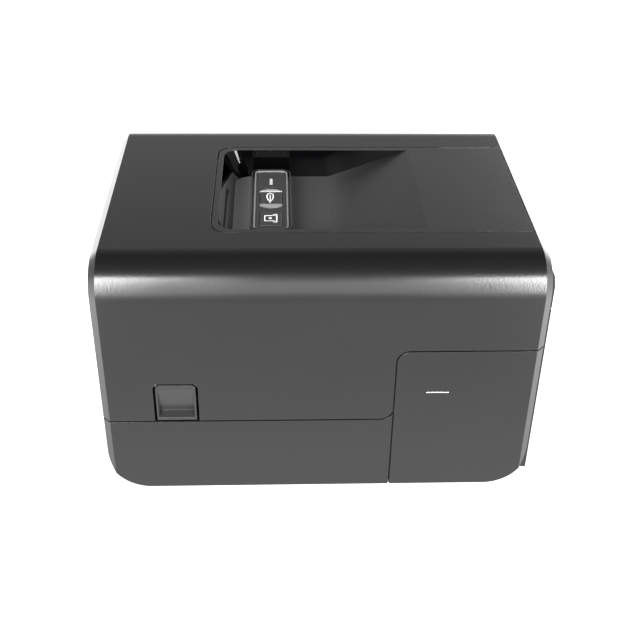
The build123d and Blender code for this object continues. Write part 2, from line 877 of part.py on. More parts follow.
def rack(teeth, module, width, height):
    """Straight rack along X, pitch line at Y = 0, teeth towards -Y, standing on Z = 0, first gap at X = 0."""
    pitch = pi * module
    top = -0.9 * module
    low = 1.15 * module
    points = [(0, width), (0, low)]
    half_tip = pitch / 4 - backlash / 2 - 0.9 * module * tan(pressure_angle)
    half_root = pitch / 4 - backlash / 2 + 1.15 * module * tan(pressure_angle)
    for tooth in range(teeth):
        centre = (tooth + 0.5) * pitch
        points += [(centre - half_root, low), (centre - half_tip, top), (centre + half_tip, top),
                   (centre + half_root, low)]
    points += [(teeth * pitch, low), (teeth * pitch, width)]
    return along_z(outline(*points), 0, height)


def right_holder():
    """Side plate of the label roll on the +X side, with its hub axle, neck and rack."""
    x0 = holder_half
    x1 = x0 + holder_thickness
    bottom = roll_z - trough_radius
    plate = outline(
        (roll_y - holder_width / 2, bottom + 14),
        (roll_y - holder_width / 2 - 6, roll_z),
        (roll_y - holder_width / 2 + 2, roll_z + holder_top),
        (roll_y + holder_width / 2 - 2, roll_z + holder_top),
        (roll_y + holder_width / 2 + 6, roll_z),
        (roll_y + holder_width / 2, bottom + 14),
        (roll_y + neck_width / 2, bottom + 2),
        (roll_y - neck_width / 2, bottom + 2),
    )
    plate = fillet(plate.vertices().group_by(Axis.Y)[-1], 10)
    holder = along_x(plate, x0, x1)
    axle_bore = hub_axle_radius - running_fit
    neck_half = neck_width / 2
    holder += box(x0, x1, roll_y - neck_half, roll_y + neck_half, rack_z, bottom + 3)
    holder += rod_x(x0 - hub_length - 1, x0, roll_y, roll_z, axle_bore)
    length = rack_teeth * pi * gear_module
    bar = rack(rack_teeth, gear_module, rack_width, rack_height)
    holder += Pos(x1 - length, roll_y + sync_shift, rack_z) * bar
    return holder + box(x0, x1, roll_y, roll_y + sync_shift + rack_width, rack_z, rack_z + rack_height)


def make_roll_holder(side):
    """Both holders are one shape, turned half round about the pinion's axis."""
    holder = right_holder()
    if side > 0:
        return holder
    return Pos(0, roll_y, 0) * Rot(0, 0, 180) * Pos(0, -roll_y, 0) * holder


def make_roll_hub(side):
    x1 = holder_half - touch_gap
    x0 = x1 - hub_length
    hub = rod_x(x0, x1, roll_y, roll_z, hub_radius)
    hub += rod_x(x1 - 2, x1, roll_y, roll_z, hub_radius + 4)
    hub = chamfer(hub.edges().group_by(Axis.X)[0], 2.0)
    hub -= rod_x(x0 - 1, x1 + 1, roll_y, roll_z, hub_axle_radius)
    for spoke in range(6):
        angle = 2 * pi * spoke / 6
        hub -= rod_x(x0 - 1, x1 - 3, roll_y + 11.5 * cos(angle), roll_z + 11.5 * sin(angle), 3.6)
    return hub if side > 0 else mirror(hub, Plane.YZ)


def make_sync_pinion():
    rack_start = holder_half + holder_thickness - rack_teeth * pi * gear_module
    phase = pi / 2 - rack_start / sync_pitch
    pinion = Pos(0, roll_y) * gear_sketch(gear_module, sync_teeth, phase)
    gear = along_z(pinion, rack_z, rack_z + rack_height)
    return gear - rod_z(rack_z - 1, rack_z + rack_height + 1, 0, roll_y, sync_post + running_fit)


def make_sensor_rail():
    half = sensor_post + 2
    return box(-half, half, sensor_y - sensor_rail_width / 2 + running_fit,
               sensor_y + sensor_rail_width / 2 - running_fit,
               sensor_z - sensor_rail_height / 2 + running_fit,
               sensor_z + sensor_rail_height / 2 - running_fit)


def make_media_sensor():
    half = sensor_width / 2
    block = box(-half, half, sensor_y - 6, sensor_y + 6, sensor_z - 4.5, sensor_z + 4.5)
    block = chamfer(block.edges().filter_by(Axis.X), 1.0)
    block -= box(-half - 1, half + 1, sensor_y - sensor_rail_width / 2, sensor_y + sensor_rail_width / 2,
                 sensor_z - sensor_rail_height / 2, sensor_z + sensor_rail_height / 2)
    window = box(-2.5, 2.5, sensor_y - 1.5, sensor_y + 1.5, sensor_z + 3.7, sensor_z + 5)
    return block - window


def make_main_board():
    rear = y_rear - wall - port_plate_thickness - air_gap
    board = box(-board_half, board_half, rear - board_depth, rear, board_z, board_z + board_thickness)
    top = board_z + board_thickness
    for x, y, width, depth in ((-40, 8, 14, 12), (-8, 5, 20, 18), (28, 10, 10, 16), (46, 12, 12, 8)):
        board += box(x, x + width, rear - board_depth + y, rear - board_depth + y + depth, top, top + 2)
    frame_x, frame_z = rocker_frame_half()
    return board - box(rocker_x - frame_x - 1, rocker_x + frame_x + 1, rear - 16, rear + 1, board_z - 1,
                       top + 1)


def socket_body(x, width, height, depth):
    rear = y_rear - wall
    low = board_z + board_thickness
    return box(x - width / 2, x + width / 2, rear - depth, rear - port_plate_thickness, low, low + height)


def make_dc_inlet():
    low = board_z + board_thickness
    body = socket_body(jack_x, 10, 11, 14)
    body += rod_y(y_rear - wall - port_plate_thickness, y_rear - 0.6, jack_x, low + 5.5, 4.6)
    body -= rod_y(y_rear - wall - 9, y_rear + 1, jack_x, low + 5.5, 3.2)
    return body + rod_y(y_rear - wall - 10, y_rear - 1.6, jack_x, low + 5.5, 1.0)


def make_usb_port():
    low = board_z + board_thickness
    body = socket_body(usb_x, 12, 11, 16)
    body += box(usb_x - 6, usb_x + 6, y_rear - wall - port_plate_thickness, y_rear - 0.8, low, low + 11)
    body -= box(usb_x - 4.3, usb_x + 4.3, y_rear - wall - 9, y_rear + 1, low + 1.4, low + 9.4)
    return body + box(usb_x - 2.8, usb_x + 2.8, y_rear - wall - 10, y_rear - wall, low + 4.1, low + 6.9)


def make_network_port():
    low = board_z + board_thickness
    body = socket_body(network_x, 16, 13.5, 20)
    body += box(network_x - 8, network_x + 8, y_rear - wall - port_plate_thickness, y_rear - 0.8, low,
                low + 13.5)
    return body - box(network_x - 6, network_x + 6, y_rear - wall - 12, y_rear + 1, low + 2.5, low + 10)


def make_serial_port():
    low = board_z + board_thickness
    body = socket_body(serial_x, 31, 12.5, 12)
    tongue = area(serial_x - 8.5, serial_x + 8.5, low + 2, low + 10.4)
    tongue = fillet(tongue.vertices(), 2.4)
    shell = along_y(tongue, y_rear - wall - port_plate_thickness - 3, y_rear + 2.4)
    hollow = along_y(offset(tongue, -0.8), y_rear - wall - 3, y_rear + 3)
    body += shell
    body -= hollow
    for side in (-1, 1):
        body += rod_y(y_rear - wall - 2, y_rear + 2.2, serial_x + side * 12.5, low + 6.2, 2.4)
    return body


def make_port_plate():
    half = port_plate_half + 3
    y0 = y_rear - wall - port_plate_thickness
    low = board_z + board_thickness
    plate = box(-half, half, y0, y0 + port_plate_thickness, port_low - 1, port_low + port_plate_height + 2)
    plate -= rod_y(y0 - 1, y_rear, jack_x, low + 5.5, 4.8)
    plate -= box(usb_x - 6.2, usb_x + 6.2, y0 - 1, y_rear, low - 0.2, low + 11.2)
    plate -= box(network_x - 8.2, network_x + 8.2, y0 - 1, y_rear, low - 0.2, low + 13.7)
    plate -= box(serial_x - 9, serial_x + 9, y0 - 1, y_rear, low + 1.6, low + 10.8)
    for side in (-1, 1):
        plate -= rod_y(y0 - 1, y_rear, serial_x + side * 12.5, low + 6.2, 2.6)
    frame = rocker_frame_half()
    plate -= box(rocker_x - frame[0] + 1, rocker_x + frame[0] - 1, y0 - 1, y_rear, rocker_z - frame[1] + 1,
                 rocker_z + frame[1] - 1)
    return plate


def rocker_frame_half():
    return rocker_half_width + rocker_rim, rocker_half_height + rocker_rim - 0.6


def make_rocker_frame():
    half_x, half_z = rocker_frame_half()
    y0 = y_rear - wall
    frame = box(rocker_x - half_x, rocker_x + half_x, y0, y_rear - 0.6, rocker_z - half_z, rocker_z + half_z)
    body = box(rocker_x - half_x + 1.2, rocker_x + half_x - 1.2, y0 - 14, y0, rocker_z - half_z + 1.2,
               rocker_z + half_z - 1.2)
    frame += body
    opening = rocker_half_width + rocker_gap
    frame -= box(rocker_x - opening, rocker_x + opening, y0 - 9, y_rear,
                 rocker_z - rocker_half_height - 0.1, rocker_z + rocker_half_height + 0.1)
    pin = opening + rocker_gap
    frame -= rod_x(rocker_x - pin - 0.1, rocker_x + pin + 0.1, rocker_pivot_y, rocker_z,
                   rocker_pin_radius + running_fit)
    return frame


def make_power_rocker():
    """Rocker key, at rest with its lower end pressed in."""
    reach = rocker_half_height - 0.7
    rise = reach * tan(radians(rocker_tilt))
    y0 = y_rear - 1.6
    key = outline(
        (y0 - 4, rocker_z - reach + 1.5),
        (y0 + rise * 0.6, rocker_z - reach),
        (y0, rocker_z),
        (y0 + rise * 0.6, rocker_z + reach),
        (y0 - 4, rocker_z + reach - 1.5),
    )
    solid = along_x(key, rocker_x - rocker_half_width, rocker_x + rocker_half_width)
    pin = rocker_half_width + 2 * rocker_gap
    solid += rod_x(rocker_x - pin, rocker_x + pin, rocker_pivot_y, rocker_z, rocker_pin_radius)
    pivot = Pos(0, rocker_pivot_y, rocker_z)
    back = Pos(0, -rocker_pivot_y, -rocker_z)
    return pivot * Rot(rocker_tilt, 0, 0) * back * solid


def make_hinge_pins():
    ends = hinge_inner + 3 * knuckle_width + 2 * air_gap
    return both_sides(rod_x(hinge_inner, ends, hinge_y, hinge_z, hinge_pin_radius))


def latch_pivot():
    return half_width - latch_pin_inset, latch_opening_top - latch_end_gap - latch_pin_drop


def make_latch(side):
    """Pull flap of the cover latch with its finger scoop, hook arm and pin ears."""
    y = y_front + latch_from_front
    half = latch_opening_width / 2 - latch_side_gap
    low = front_seam_z + latch_end_gap + 0.1
    high = latch_opening_top - latch_end_gap
    sketch = area(y - half, y + half, low, high)
    sketch = chamfer(sketch.vertices().group_by(Axis.Y)[-1], 2.4)
    flap = along_x(sketch, half_width - latch_depth, half_width)
    scoop = along_y(outline(
        (half_width + 1, high - scoop_high),
        (half_width, high - scoop_high),
        (half_width - scoop_depth, low + scoop_low),
        (half_width, low + scoop_low - 2.6),
        (half_width + 1, low + scoop_low - 2.6),
    ), y - half + scoop_side, y + half - scoop_side)
    flap -= scoop
    pin_x, pin_z = latch_pivot()
    flap -= rod_y(y - half - 1, y + half + 1, pin_x, pin_z, latch_pin_radius + running_fit)
    arm_x1 = half_width - latch_depth + hook_thickness
    arm_x0 = arm_x1 - hook_thickness
    flap += box(arm_x0, arm_x1, y - hook_width / 2, y + hook_width / 2, front_seam_z - hook_length, low + 8)
    return flap if side > 0 else mirror(flap, Plane.YZ)


def make_latch_pins():
    y = y_front + latch_from_front
    half = latch_opening_width / 2 + lug_width - 1
    pin_x, pin_z = latch_pivot()
    return both_sides(rod_y(y - half, y + half, pin_x, pin_z, latch_pin_radius))


def latch_lugs():
    """Lugs inside the cover wall that hold the latch pin at both ends, joined by a rib over the opening."""
    y = y_front + latch_from_front
    half = latch_opening_width / 2
    pin_x, pin_z = latch_pivot()
    rib_low = latch_opening_top + 1
    rib_high = rib_low + 4.5
    inner_face = half_width - wall
    lugs = box(inner_face - 2.5, inner_face + 0.5, y - half - lug_width, y + half + lug_width, rib_low,
               rib_high)
    for end in (-1, 1):
        near_y = y + end * (half + 0.2)
        far_y = y + end * (half + lug_width)
        low_y, high_y = min(near_y, far_y), max(near_y, far_y)
        lugs += box(pin_x - 4, inner_face + 0.5, low_y, high_y, pin_z - 4, pin_z + 4)
        lugs += box(inner_face - 2.5, inner_face + 0.5, low_y, high_y, pin_z, rib_high)
    return lugs - rod_y(y - half - 5, y + half + 5, pin_x, pin_z, latch_pin_radius + running_fit)


def make_catch(side):
    """Steel keeper on the deck, just inboard of the latch hook."""
    y = y_front + latch_from_front
    hook_in = half_width - latch_depth
    x1 = hook_in - touch_gap - 0.2
    low_y = y - catch_half
    high_y = y + catch_half
    catch = box(x1 - catch_thickness, x1, low_y, high_y, deck_z, front_seam_z - 2)
    catch += box(catch_gear_gap - gear_x, x1, low_y, high_y, deck_z, deck_z + catch_thickness)
    return catch if side > 0 else mirror(catch, Plane.YZ)


def make_ribbon_frame():
    """Two side plates and two cross bars under the cover that carry both ribbon spindles and the head."""
    top = body_top - wall
    front = y_front + frame_inset
    side_view = outline(
        (front, top),
        (front, takeup_z - 30),
        (front + 10, frame_low),
        (head_pivot_y + 10, frame_low),
        (supply_y + 20, supply_z - 14),
        (supply_y + 20, supply_z + 20),
        (takeup_y + 32, supply_z + 28),
        (takeup_y + 32, top),
    )
    plate = along_x(side_view, frame_half, frame_half + frame_wall)
    frame = both_sides(plate)
    bar_low = takeup_z + front_bar_rise
    frame += box(-frame_half, frame_half, front, front + frame_bar_width, bar_low, bar_low + frame_bar_height)
    bar_y = supply_y + rear_bar_reach
    bar_low = supply_z + rear_bar_rise
    frame += box(-frame_half, frame_half, bar_y, bar_y + frame_bar_width, bar_low, bar_low + frame_bar_height)
    frame += box(-frame_half, frame_half, head_y + 4, head_y + 14, spring_top, spring_top + 4)
    wide = frame_half + frame_wall + 1
    frame -= rod_x(-wide, wide, takeup_y, takeup_z, spindle_pin_radius + running_fit)
    frame -= rod_x(-wide, wide, supply_y, supply_z, spindle_pin_radius + running_fit)
    frame -= rod_x(-wide, wide, head_pivot_y, head_pivot_z, head_pin_radius + running_fit)
    motor_y, motor_z = ribbon_motor_place()
    for turn in (-pi / 2, pi / 2):
        y = motor_y + 9.5 * cos(ribbon_motor_angle + turn)
        z = motor_z + 9.5 * sin(ribbon_motor_angle + turn)
        frame += rod_x(ribbon_motor_face, -frame_half, y, z, 1.8)
    return frame


def ribbon_motor_place():
    reach = ribbon_module * (takeup_teeth + ribbon_pinion_teeth) / 2 + mesh_ease
    return takeup_y + reach * cos(ribbon_motor_angle), takeup_z + reach * sin(ribbon_motor_angle)


def make_ribbon_motor():
    y, z = ribbon_motor_place()
    x1 = ribbon_motor_face
    motor = rod_x(x1 - ribbon_motor_length, x1, y, z, ribbon_motor_radius)
    motor = fillet(motor.edges().group_by(Axis.X)[0], 1.5)
    return motor


def make_ribbon_pinion():
    y, z = ribbon_motor_place()
    phase = mesh_phase(0, takeup_teeth, ribbon_pinion_teeth, ribbon_motor_angle)
    gear = along_x(Pos(y, z) * gear_sketch(ribbon_module, ribbon_pinion_teeth, phase), ribbon_gear_x,
                   ribbon_gear_x + gear_width)
    return gear + rod_x(ribbon_motor_face + touch_gap, ribbon_gear_x, y, z, 1.5)


def make_takeup_gear():
    return gear_x_axis(ribbon_module, takeup_teeth, 0, takeup_y, takeup_z, ribbon_gear_x,
                       spindle_pin_radius, 3, 0)


def make_spindle(y, z, pin_reach):
    """Ribbon spindle with its core ribs and end flanges, on a pin that turns in the frame."""
    spindle = rod_x(-spindle_half, spindle_half, y, z, spindle_radius)
    for rib in range(3):
        angle = 2 * pi * rib / 3 + pi / 2
        spindle += Pos(0, y, z) * Rot(degrees(angle), 0, 0) * box(
            -spindle_half + 6, spindle_half - 6, spindle_radius - 1, spindle_radius + 2, -0.9, 0.9)
    for x in (-spindle_half, spindle_half - 2):
        spindle += rod_x(x, x + 2, y, z, spindle_radius + 5)
    return spindle + rod_x(-pin_reach, frame_half + frame_wall, y, z, spindle_pin_radius)


def make_head_bracket():
    """Aluminium heat sink of the print head, with fins and its two pivot arms."""
    half = label_width / 2
    low = head_low + head_plate
    bracket = box(-half, half, head_y, head_y + head_depth, low, low + 4)
    fins = 5
    for fin in range(fins):
        y = head_y + 1 + fin * (head_depth - 4) / (fins - 1)
        height = head_fins if fin in (0, fins - 1) else head_seat
        bracket += box(-half, half, y, y + 2, low, low + height)
    seat = box(-half, half, head_y + 4, head_y + 14, low, low + head_seat)
    bracket += seat
    arm_x = frame_half - touch_gap - head_arm
    arm = along_x(outline(
        (head_y + head_depth - 8, low),
        (head_y + head_depth - 8, low + 7),
        (head_pivot_y - 5, head_pivot_z + 4),
        (head_pivot_y + 5, head_pivot_z + 4),
        (head_pivot_y + 5, head_pivot_z - 5),
        (head_y + head_depth, low),
    ), arm_x, arm_x + head_arm)
    arm += box(half - 1, arm_x + head_arm, head_y + head_depth - 8, head_y + head_depth, low, low + 5)
    arm += rod_x(arm_x, frame_half + frame_wall, head_pivot_y, head_pivot_z, head_pin_radius)
    return bracket + both_sides(arm)


def make_printhead():
    half = label_width / 2
    plate = box(-half, half, head_y + 1, head_y + head_depth - 1, head_low, head_low + head_plate)
    return chamfer(plate.edges().group_by(Axis.Z)[0].filter_by(Axis.X), 0.6)


def make_head_springs():
    springs = []
    for x in (-head_spring_x, head_spring_x):
        outer = rod_z(head_low + head_plate + head_seat, spring_top, x, head_y + 9, head_spring_radius)
        springs.append(outer)
    return Part() + springs


def pad_plan(half_length, half_width_pad, corner):
    return Pos(pad_x, pad_y) * RectangleRounded(2 * half_length, 2 * half_width_pad, corner)


def make_recess_tray():
    """Grey insert of the cover top: rim, front wall, floor, ramp, flush rear panel and control pedestal."""
    rear = tray_rear
    rim = along_z(tray_plan(0, rear), rim_z, body_top)
    rim -= along_z(
        fillet(area(-tray_half + rim_width, tray_half - rim_width, wall_front, rear + beyond)
               .vertices().group_by(Axis.Y)[0], recess_corner), rim_z - 1, body_top + 1)
    slab = floor_line(0) - floor_line(tray_wall)
    half = tray_half - rim_width
    floor = along_x(slab, -half, half) & along_z(tray_plan(0, rear), floor_z - beyond, body_top + 1)
    front_cut = box(-tray_half, tray_half, tray_front - 1, wall_front + front_wall_lean - tray_wall,
                    floor_z - 10, rim_z)
    floor -= front_cut
    panel = box(-tray_half, tray_half, ramp_end, rear, body_top - tray_wall, body_top)
    walls = recess_form(tray_wall) - recess_form(0)
    front_wall = walls & grip_zone(0)
    slot_low = grip_slot_low + floor_z
    slot = box(grip_slot_from, grip_slot_to, tray_front - 10, wall_front + beyond, slot_low,
               slot_low + grip_slot_height)
    front_wall -= slot
    notch = outline(
        (-half_width, rim_z + 1),
        (grip_notch_to, rim_z + 1),
        (grip_notch_foot, floor_z + grip_notch_low),
        (-half_width, floor_z + grip_notch_low),
    )
    front_wall -= along_y(notch, tray_front - 5, wall_front + beyond)
    front_wall -= box(grip_slit_from, grip_slit_to, tray_front - 5, wall_front + beyond,
                      rim_z - grip_slit_height, rim_z + 1)
    tray = rim + floor + panel + front_wall
    pad = along_z(pad_plan(pad_half_length, pad_half_width, pad_corner), floor_z - tray_wall, pad_top)
    seat_z = face_z - keypad_thickness
    inner = along_z(pad_plan(pad_half_length - pad_wall, pad_half_width - pad_wall, pad_corner - pad_wall),
                    floor_z - tray_wall - 1, seat_z - keypad_seat)
    mouth = along_z(pad_plan(keypad_half_length + keypad_groove, keypad_half_width + keypad_groove,
                             pad_corner + keypad_groove - keypad_margin), seat_z, pad_top + 1)
    throat = along_z(pad_plan(keypad_half_length - keypad_seat, keypad_half_width - keypad_seat,
                              pad_corner - keypad_margin - keypad_seat), floor_z - tray_wall - 1, pad_top + 1)
    tray += pad
    tray -= inner + mouth + throat
    for x in (pad_x + pad_post_inset - pad_half_length, pad_x + pad_half_length - pad_post_inset):
        for y in (pad_y - pad_post_half, pad_y + pad_post_half):
            tray += rod_z(board_top, seat_z - keypad_seat + 0.1, x, y, pad_post_radius)
    skirt_low = body_top - wall - 2.4
    within = tray_plan(-skirt_thickness, rear - skirt_thickness)
    skirt = along_z(tray_plan(0, rear), skirt_low, rim_z) - along_z(within, skirt_low - 1, rim_z + 1)
    flange = along_z(tray_plan(flange_width, rear), skirt_low, body_top - wall - 0.2)
    flange -= along_z(within, skirt_low - 1, rim_z)
    return tray + skirt + flange


def grip_zone(grow):
    """Front stretch of the recess wall, between the two window edges."""
    top = window_edge_top + grow
    low = window_edge_low + grow
    face = outline((-top, rim_z), (top, rim_z), (low, floor_z), (-low, floor_z))
    return along_y(face, tray_front - 10, ramp_start)


def make_window(side):
    """Smoked window: the side wall of the recess with its round front corner, standing on floor and ramp."""
    walls = recess_form(window_thickness) - recess_form(0)
    walls -= grip_zone(0.15)
    walls -= along_x(floor_line(0), -half_width, half_width)
    walls -= box(-half_width, half_width, ramp_end - 7, tray_rear + 2 * beyond, floor_z - 1, body_top + 1)
    keep = box(0, half_width, tray_front - 10, tray_rear + beyond, floor_z - 1, rim_z)
    window = walls & keep
    return window if side > 0 else mirror(window, Plane.YZ)


def make_keypad_bezel():
    """Keypad face, sunk inside a thin raised lip, with its openings for the keys and the lamps."""
    low = face_z - keypad_thickness
    corner = pad_corner - keypad_margin
    plan = pad_plan(keypad_half_length, keypad_half_width, corner)
    within = pad_plan(keypad_half_length - keypad_lip, keypad_half_width - keypad_lip, corner - keypad_lip)
    bezel = along_z(plan, low, pad_top) - along_z(within, face_z, pad_top + 1)
    half_l = light_length / 2 + 0.1
    half_w = light_width / 2 + 0.1
    bezel -= Pos(light_x, pad_y, 0) * box(-half_l, half_l, -half_w, half_w, low - 1, pad_top + 1)
    bezel -= along_z(Pos(mode_x, pad_y) * glow_plan(0.15), low - 1, pad_top + 1)
    bezel -= Pos(feed_x, pad_y, 0) * box(-feed_half_length - touch_gap, feed_half_length + feed_slot,
                                         -feed_half_width - touch_gap, feed_half_width + touch_gap,
                                         low - 1, pad_top + 1)
    return bezel


def glow_plan(grow):
    """Plan of the light guide round the mode button: straight sides and bowed ends."""
    half_w = mode_half_width + grow
    half_l = glow_half_length + grow
    straight = glow_half_length - 4.2 + grow
    return make_face([
        Line((-straight, -half_w), (straight, -half_w)),
        ThreePointArc((straight, -half_w), (half_l, 0), (straight, half_w)),
        Line((straight, half_w), (-straight, half_w)),
        ThreePointArc((-straight, half_w), (-half_l, 0), (-straight, -half_w)),
    ])


def make_mode_light():
    """Light guide: two sloping lit ends joined by a plate under the mode button, on two legs."""
    low = face_z - 5.2
    top = face_z + 0.2
    guide = along_z(Pos(mode_x, pad_y) * glow_plan(0), low, top)
    inner = mode_half_length + touch_gap
    outer = glow_half_length + 1
    for side in (-1, 1):
        wedge = along_y(outline(
            (mode_x + side * inner, top),
            (mode_x + side * outer, top - glow_drop),
            (mode_x + side * outer, top + 2),
            (mode_x + side * inner, top + 2),
        ), pad_y - 10, pad_y + 10)
        guide -= wedge
        leg_x = mode_x + side * (glow_half_length - 3)
        guide += Pos(leg_x, pad_y, 0) * box(-1, 1, -3, 3, board_top, low + 0.1)
    room = box(-inner, inner, -mode_half_width - 1, mode_half_width + 1, low + 1.2, top + 1)
    stem_hole = box(-2.6, 2.6, -2.6, 2.6, low - 1, low + 2)
    return guide - Pos(mode_x, pad_y, 0) * room - Pos(mode_x, pad_y, 0) * stem_hole


def key_cap(x, half_length, half_width_cap):
    """Key cap with softened top edges, on a square stem that ends over its switch."""
    top = face_z + button_proud
    cap_low = face_z - 2.8
    stem_low = board_top + button_travel + touch_gap
    cap = box(-half_length, half_length, -half_width_cap, half_width_cap, cap_low, top)
    cap = fillet(cap.edges().group_by(Axis.Z)[-1], 0.6)
    return Pos(x, pad_y, 0) * (cap + box(-2, 2, -2, 2, stem_low, cap_low + 0.1))


def make_status_light():
    half_l = light_length / 2
    half_w = light_width / 2
    lens = Pos(light_x, pad_y, 0) * box(-half_l, half_l, -half_w, half_w, board_top, face_z + 0.2)
    return fillet(lens.edges().filter_by(Axis.Z), half_w - 0.1)


def make_panel_board():
    """Small board under the keys, with a switch under each of them."""
    inset = pad_wall + touch_gap
    plan = pad_plan(pad_half_length - inset, pad_half_width - inset, pad_corner - inset)
    board = along_z(plan, floor_z, board_top)
    for x in (mode_x, feed_x):
        for side in (-1, 1):
            board += Pos(x, pad_y, 0) * box(-3, 3, min(side * 3.2, side * 5.2), max(side * 3.2, side * 5.2),
                                            board_top, board_top + 1.6)
    return board


def make_case_screws():
    screws = []
    for x, y in hatch_screws():
        screw = rod_z(casing_low - screw_head_height + 0.2, casing_low + 0.2, x, y, screw_head_radius)
        screw += rod_z(casing_low, floor_top + chassis_floor + 3, x, y, screw_radius - 0.1)
        screw -= Pos(x, y, casing_low - screw_head_height) * Box(4, 0.9, 1.6)
        screw -= Pos(x, y, casing_low - screw_head_height) * Box(0.9, 4, 1.6)
        screws.append(screw)
    return Part() + screws


save(make_top_cover(), "top_cover")
save(make_rear_lower_case(), "rear_lower_case")
save(make_front_lower_case(), "front_lower_case")
save(make_bottom_hatch(), "bottom_hatch")
save(make_rubber_feet(), "rubber_feet")
save(make_base_chassis(), "base_chassis")
save(make_media_bay(), "media_bay")
save(make_holder_bed(), "holder_bed")
save(make_outlet_bezel(), "outlet_bezel")
save(make_tear_bar(), "tear_bar")
save(make_platen_roller(), "platen_roller")
save(make_platen_shaft(), "platen_shaft")
save(make_platen_gear(), "platen_gear")
save(make_idler_gear(), "idler_gear")
save(make_feed_pinion(), "feed_pinion")
save(make_feed_motor(), "feed_motor")
save(make_motor_bracket(), "motor_bracket")
save(make_sync_pinion(), "sync_pinion")
save(make_sensor_rail(), "sensor_rail")
save(make_media_sensor(), "media_sensor")
save(make_main_board(), "main_board")
save(make_dc_inlet(), "dc_inlet")
save(make_usb_port(), "usb_port")
save(make_network_port(), "network_port")
save(make_serial_port(), "serial_port")
save(make_port_plate(), "port_plate")
save(make_rocker_frame(), "rocker_frame")
save(make_power_rocker(), "power_rocker")
save(make_ribbon_frame(), "ribbon_frame")
save(make_ribbon_motor(), "ribbon_motor")
save(make_ribbon_pinion(), "ribbon_pinion")
save(make_takeup_gear(), "takeup_gear")
save(make_spindle(takeup_y, takeup_z, frame_half + frame_wall + drive_gap + gear_width), "takeup_spindle")
save(make_spindle(supply_y, supply_z, frame_half + frame_wall), "supply_spindle")
save(make_head_bracket(), "head_bracket")
save(make_printhead(), "printhead")
save(make_head_springs(), "head_springs")
save(make_recess_tray(), "recess_tray")
save(make_keypad_bezel(), "keypad_bezel")
save(make_mode_light(), "mode_light")
save(key_cap(mode_x, mode_half_length, mode_half_width - touch_gap), "mode_button")
save(key_cap(feed_x, feed_half_length, feed_half_width), "feed_button")
save(make_status_light(), "status_light")
save(make_panel_board(), "panel_board")
save(make_case_screws(), "case_screws")
save(make_hinge_pins(), "hinge_pins")
save(make_latch_pins(), "latch_pins")
for side, word in ((-1, "left"), (1, "right")):
    save(make_platen_bearing(side), f"platen_bearing_{word}")
    save(make_latch(side), f"latch_{word}")
    save(make_catch(side), f"catch_{word}")
    save(make_roll_holder(side), f"roll_holder_{word}")
    save(make_roll_hub(side), f"roll_hub_{word}")
    save(make_window(side), f"window_{word}")
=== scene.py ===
import bpy
import bmesh
from math import atan2, cos, hypot, pi, radians, sin, tan, tau
from mathutils import Matrix, Vector


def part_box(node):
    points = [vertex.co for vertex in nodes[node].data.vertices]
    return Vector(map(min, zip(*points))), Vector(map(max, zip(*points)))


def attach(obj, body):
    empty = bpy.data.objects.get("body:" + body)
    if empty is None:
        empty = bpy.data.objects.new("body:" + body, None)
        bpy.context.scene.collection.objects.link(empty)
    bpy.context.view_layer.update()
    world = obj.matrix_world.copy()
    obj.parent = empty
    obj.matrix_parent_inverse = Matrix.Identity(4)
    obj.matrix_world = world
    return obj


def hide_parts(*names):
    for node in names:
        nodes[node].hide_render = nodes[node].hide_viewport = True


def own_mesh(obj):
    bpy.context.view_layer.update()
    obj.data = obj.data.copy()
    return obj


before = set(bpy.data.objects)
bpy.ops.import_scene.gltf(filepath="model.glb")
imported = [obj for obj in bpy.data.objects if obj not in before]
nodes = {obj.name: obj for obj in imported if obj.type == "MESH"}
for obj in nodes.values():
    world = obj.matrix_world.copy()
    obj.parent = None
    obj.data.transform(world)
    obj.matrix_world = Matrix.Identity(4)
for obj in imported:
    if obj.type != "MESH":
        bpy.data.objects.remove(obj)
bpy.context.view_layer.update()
scene = bpy.context.scene

# Camera. It stands in front of the printer's right side and looks down on it at 34 degrees, a little
# turned about its own axis, as far from the casing as a table-top product shot is taken.
eye = Vector((0.63084, -0.02958, 0.49250))
yaw, fall, turn = radians(2.6948), radians(34.0450), radians(1.1579)
ahead = Vector((-cos(fall) * cos(yaw), cos(fall) * sin(yaw), -sin(fall)))
level = ahead.cross(Vector((0, 0, 1))).normalized()
rise = level.cross(ahead)
right = level * cos(turn) + rise * sin(turn)
up = rise * cos(turn) - level * sin(turn)
camera = bpy.data.objects.new("camera", bpy.data.cameras.new("camera"))
camera.matrix_world = Matrix((
    (right.x, up.x, -ahead.x, eye.x),
    (right.y, up.y, -ahead.y, eye.y),
    (right.z, up.z, -ahead.z, eye.z),
    (0, 0, 0, 1),
))
camera.data.lens = 58.81
camera.data.sensor_width = 36.0
camera.data.clip_start = 0.01
scene.collection.objects.link(camera)
scene.camera = camera
scene.view_settings.view_transform = "Standard"

# Studio. Its wall is pale at the floor and darkens towards the ceiling. The printer's top mirrors the
# upper part of the wall, so it stays dark grey.
world = bpy.data.worlds.new("studio")
world.use_nodes = True
scene.world = world
tree = world.node_tree
tree.nodes.clear()
direction = tree.nodes.new("ShaderNodeTexCoord")
split = tree.nodes.new("ShaderNodeSeparateXYZ")
ramp = tree.nodes.new("ShaderNodeValToRGB")
sky = tree.nodes.new("ShaderNodeBackground")
out = tree.nodes.new("ShaderNodeOutputWorld")
ramp.color_ramp.elements[0].position = 0.0
ramp.color_ramp.elements[0].color = (0.80, 0.80, 0.80, 1)
for height, light in ((0.17, 0.78), (0.42, 0.60), (0.50, 0.48), (0.64, 0.36), (0.77, 0.15), (0.87, 0.05)):
    ramp.color_ramp.elements.new(height).color = (light, light, light, 1)
ramp.color_ramp.elements[-1].color = (0.03, 0.03, 0.03, 1)
tree.links.new(direction.outputs["Generated"], split.inputs[0])
tree.links.new(split.outputs["Z"], ramp.inputs[0])
tree.links.new(ramp.outputs[0], sky.inputs[0])
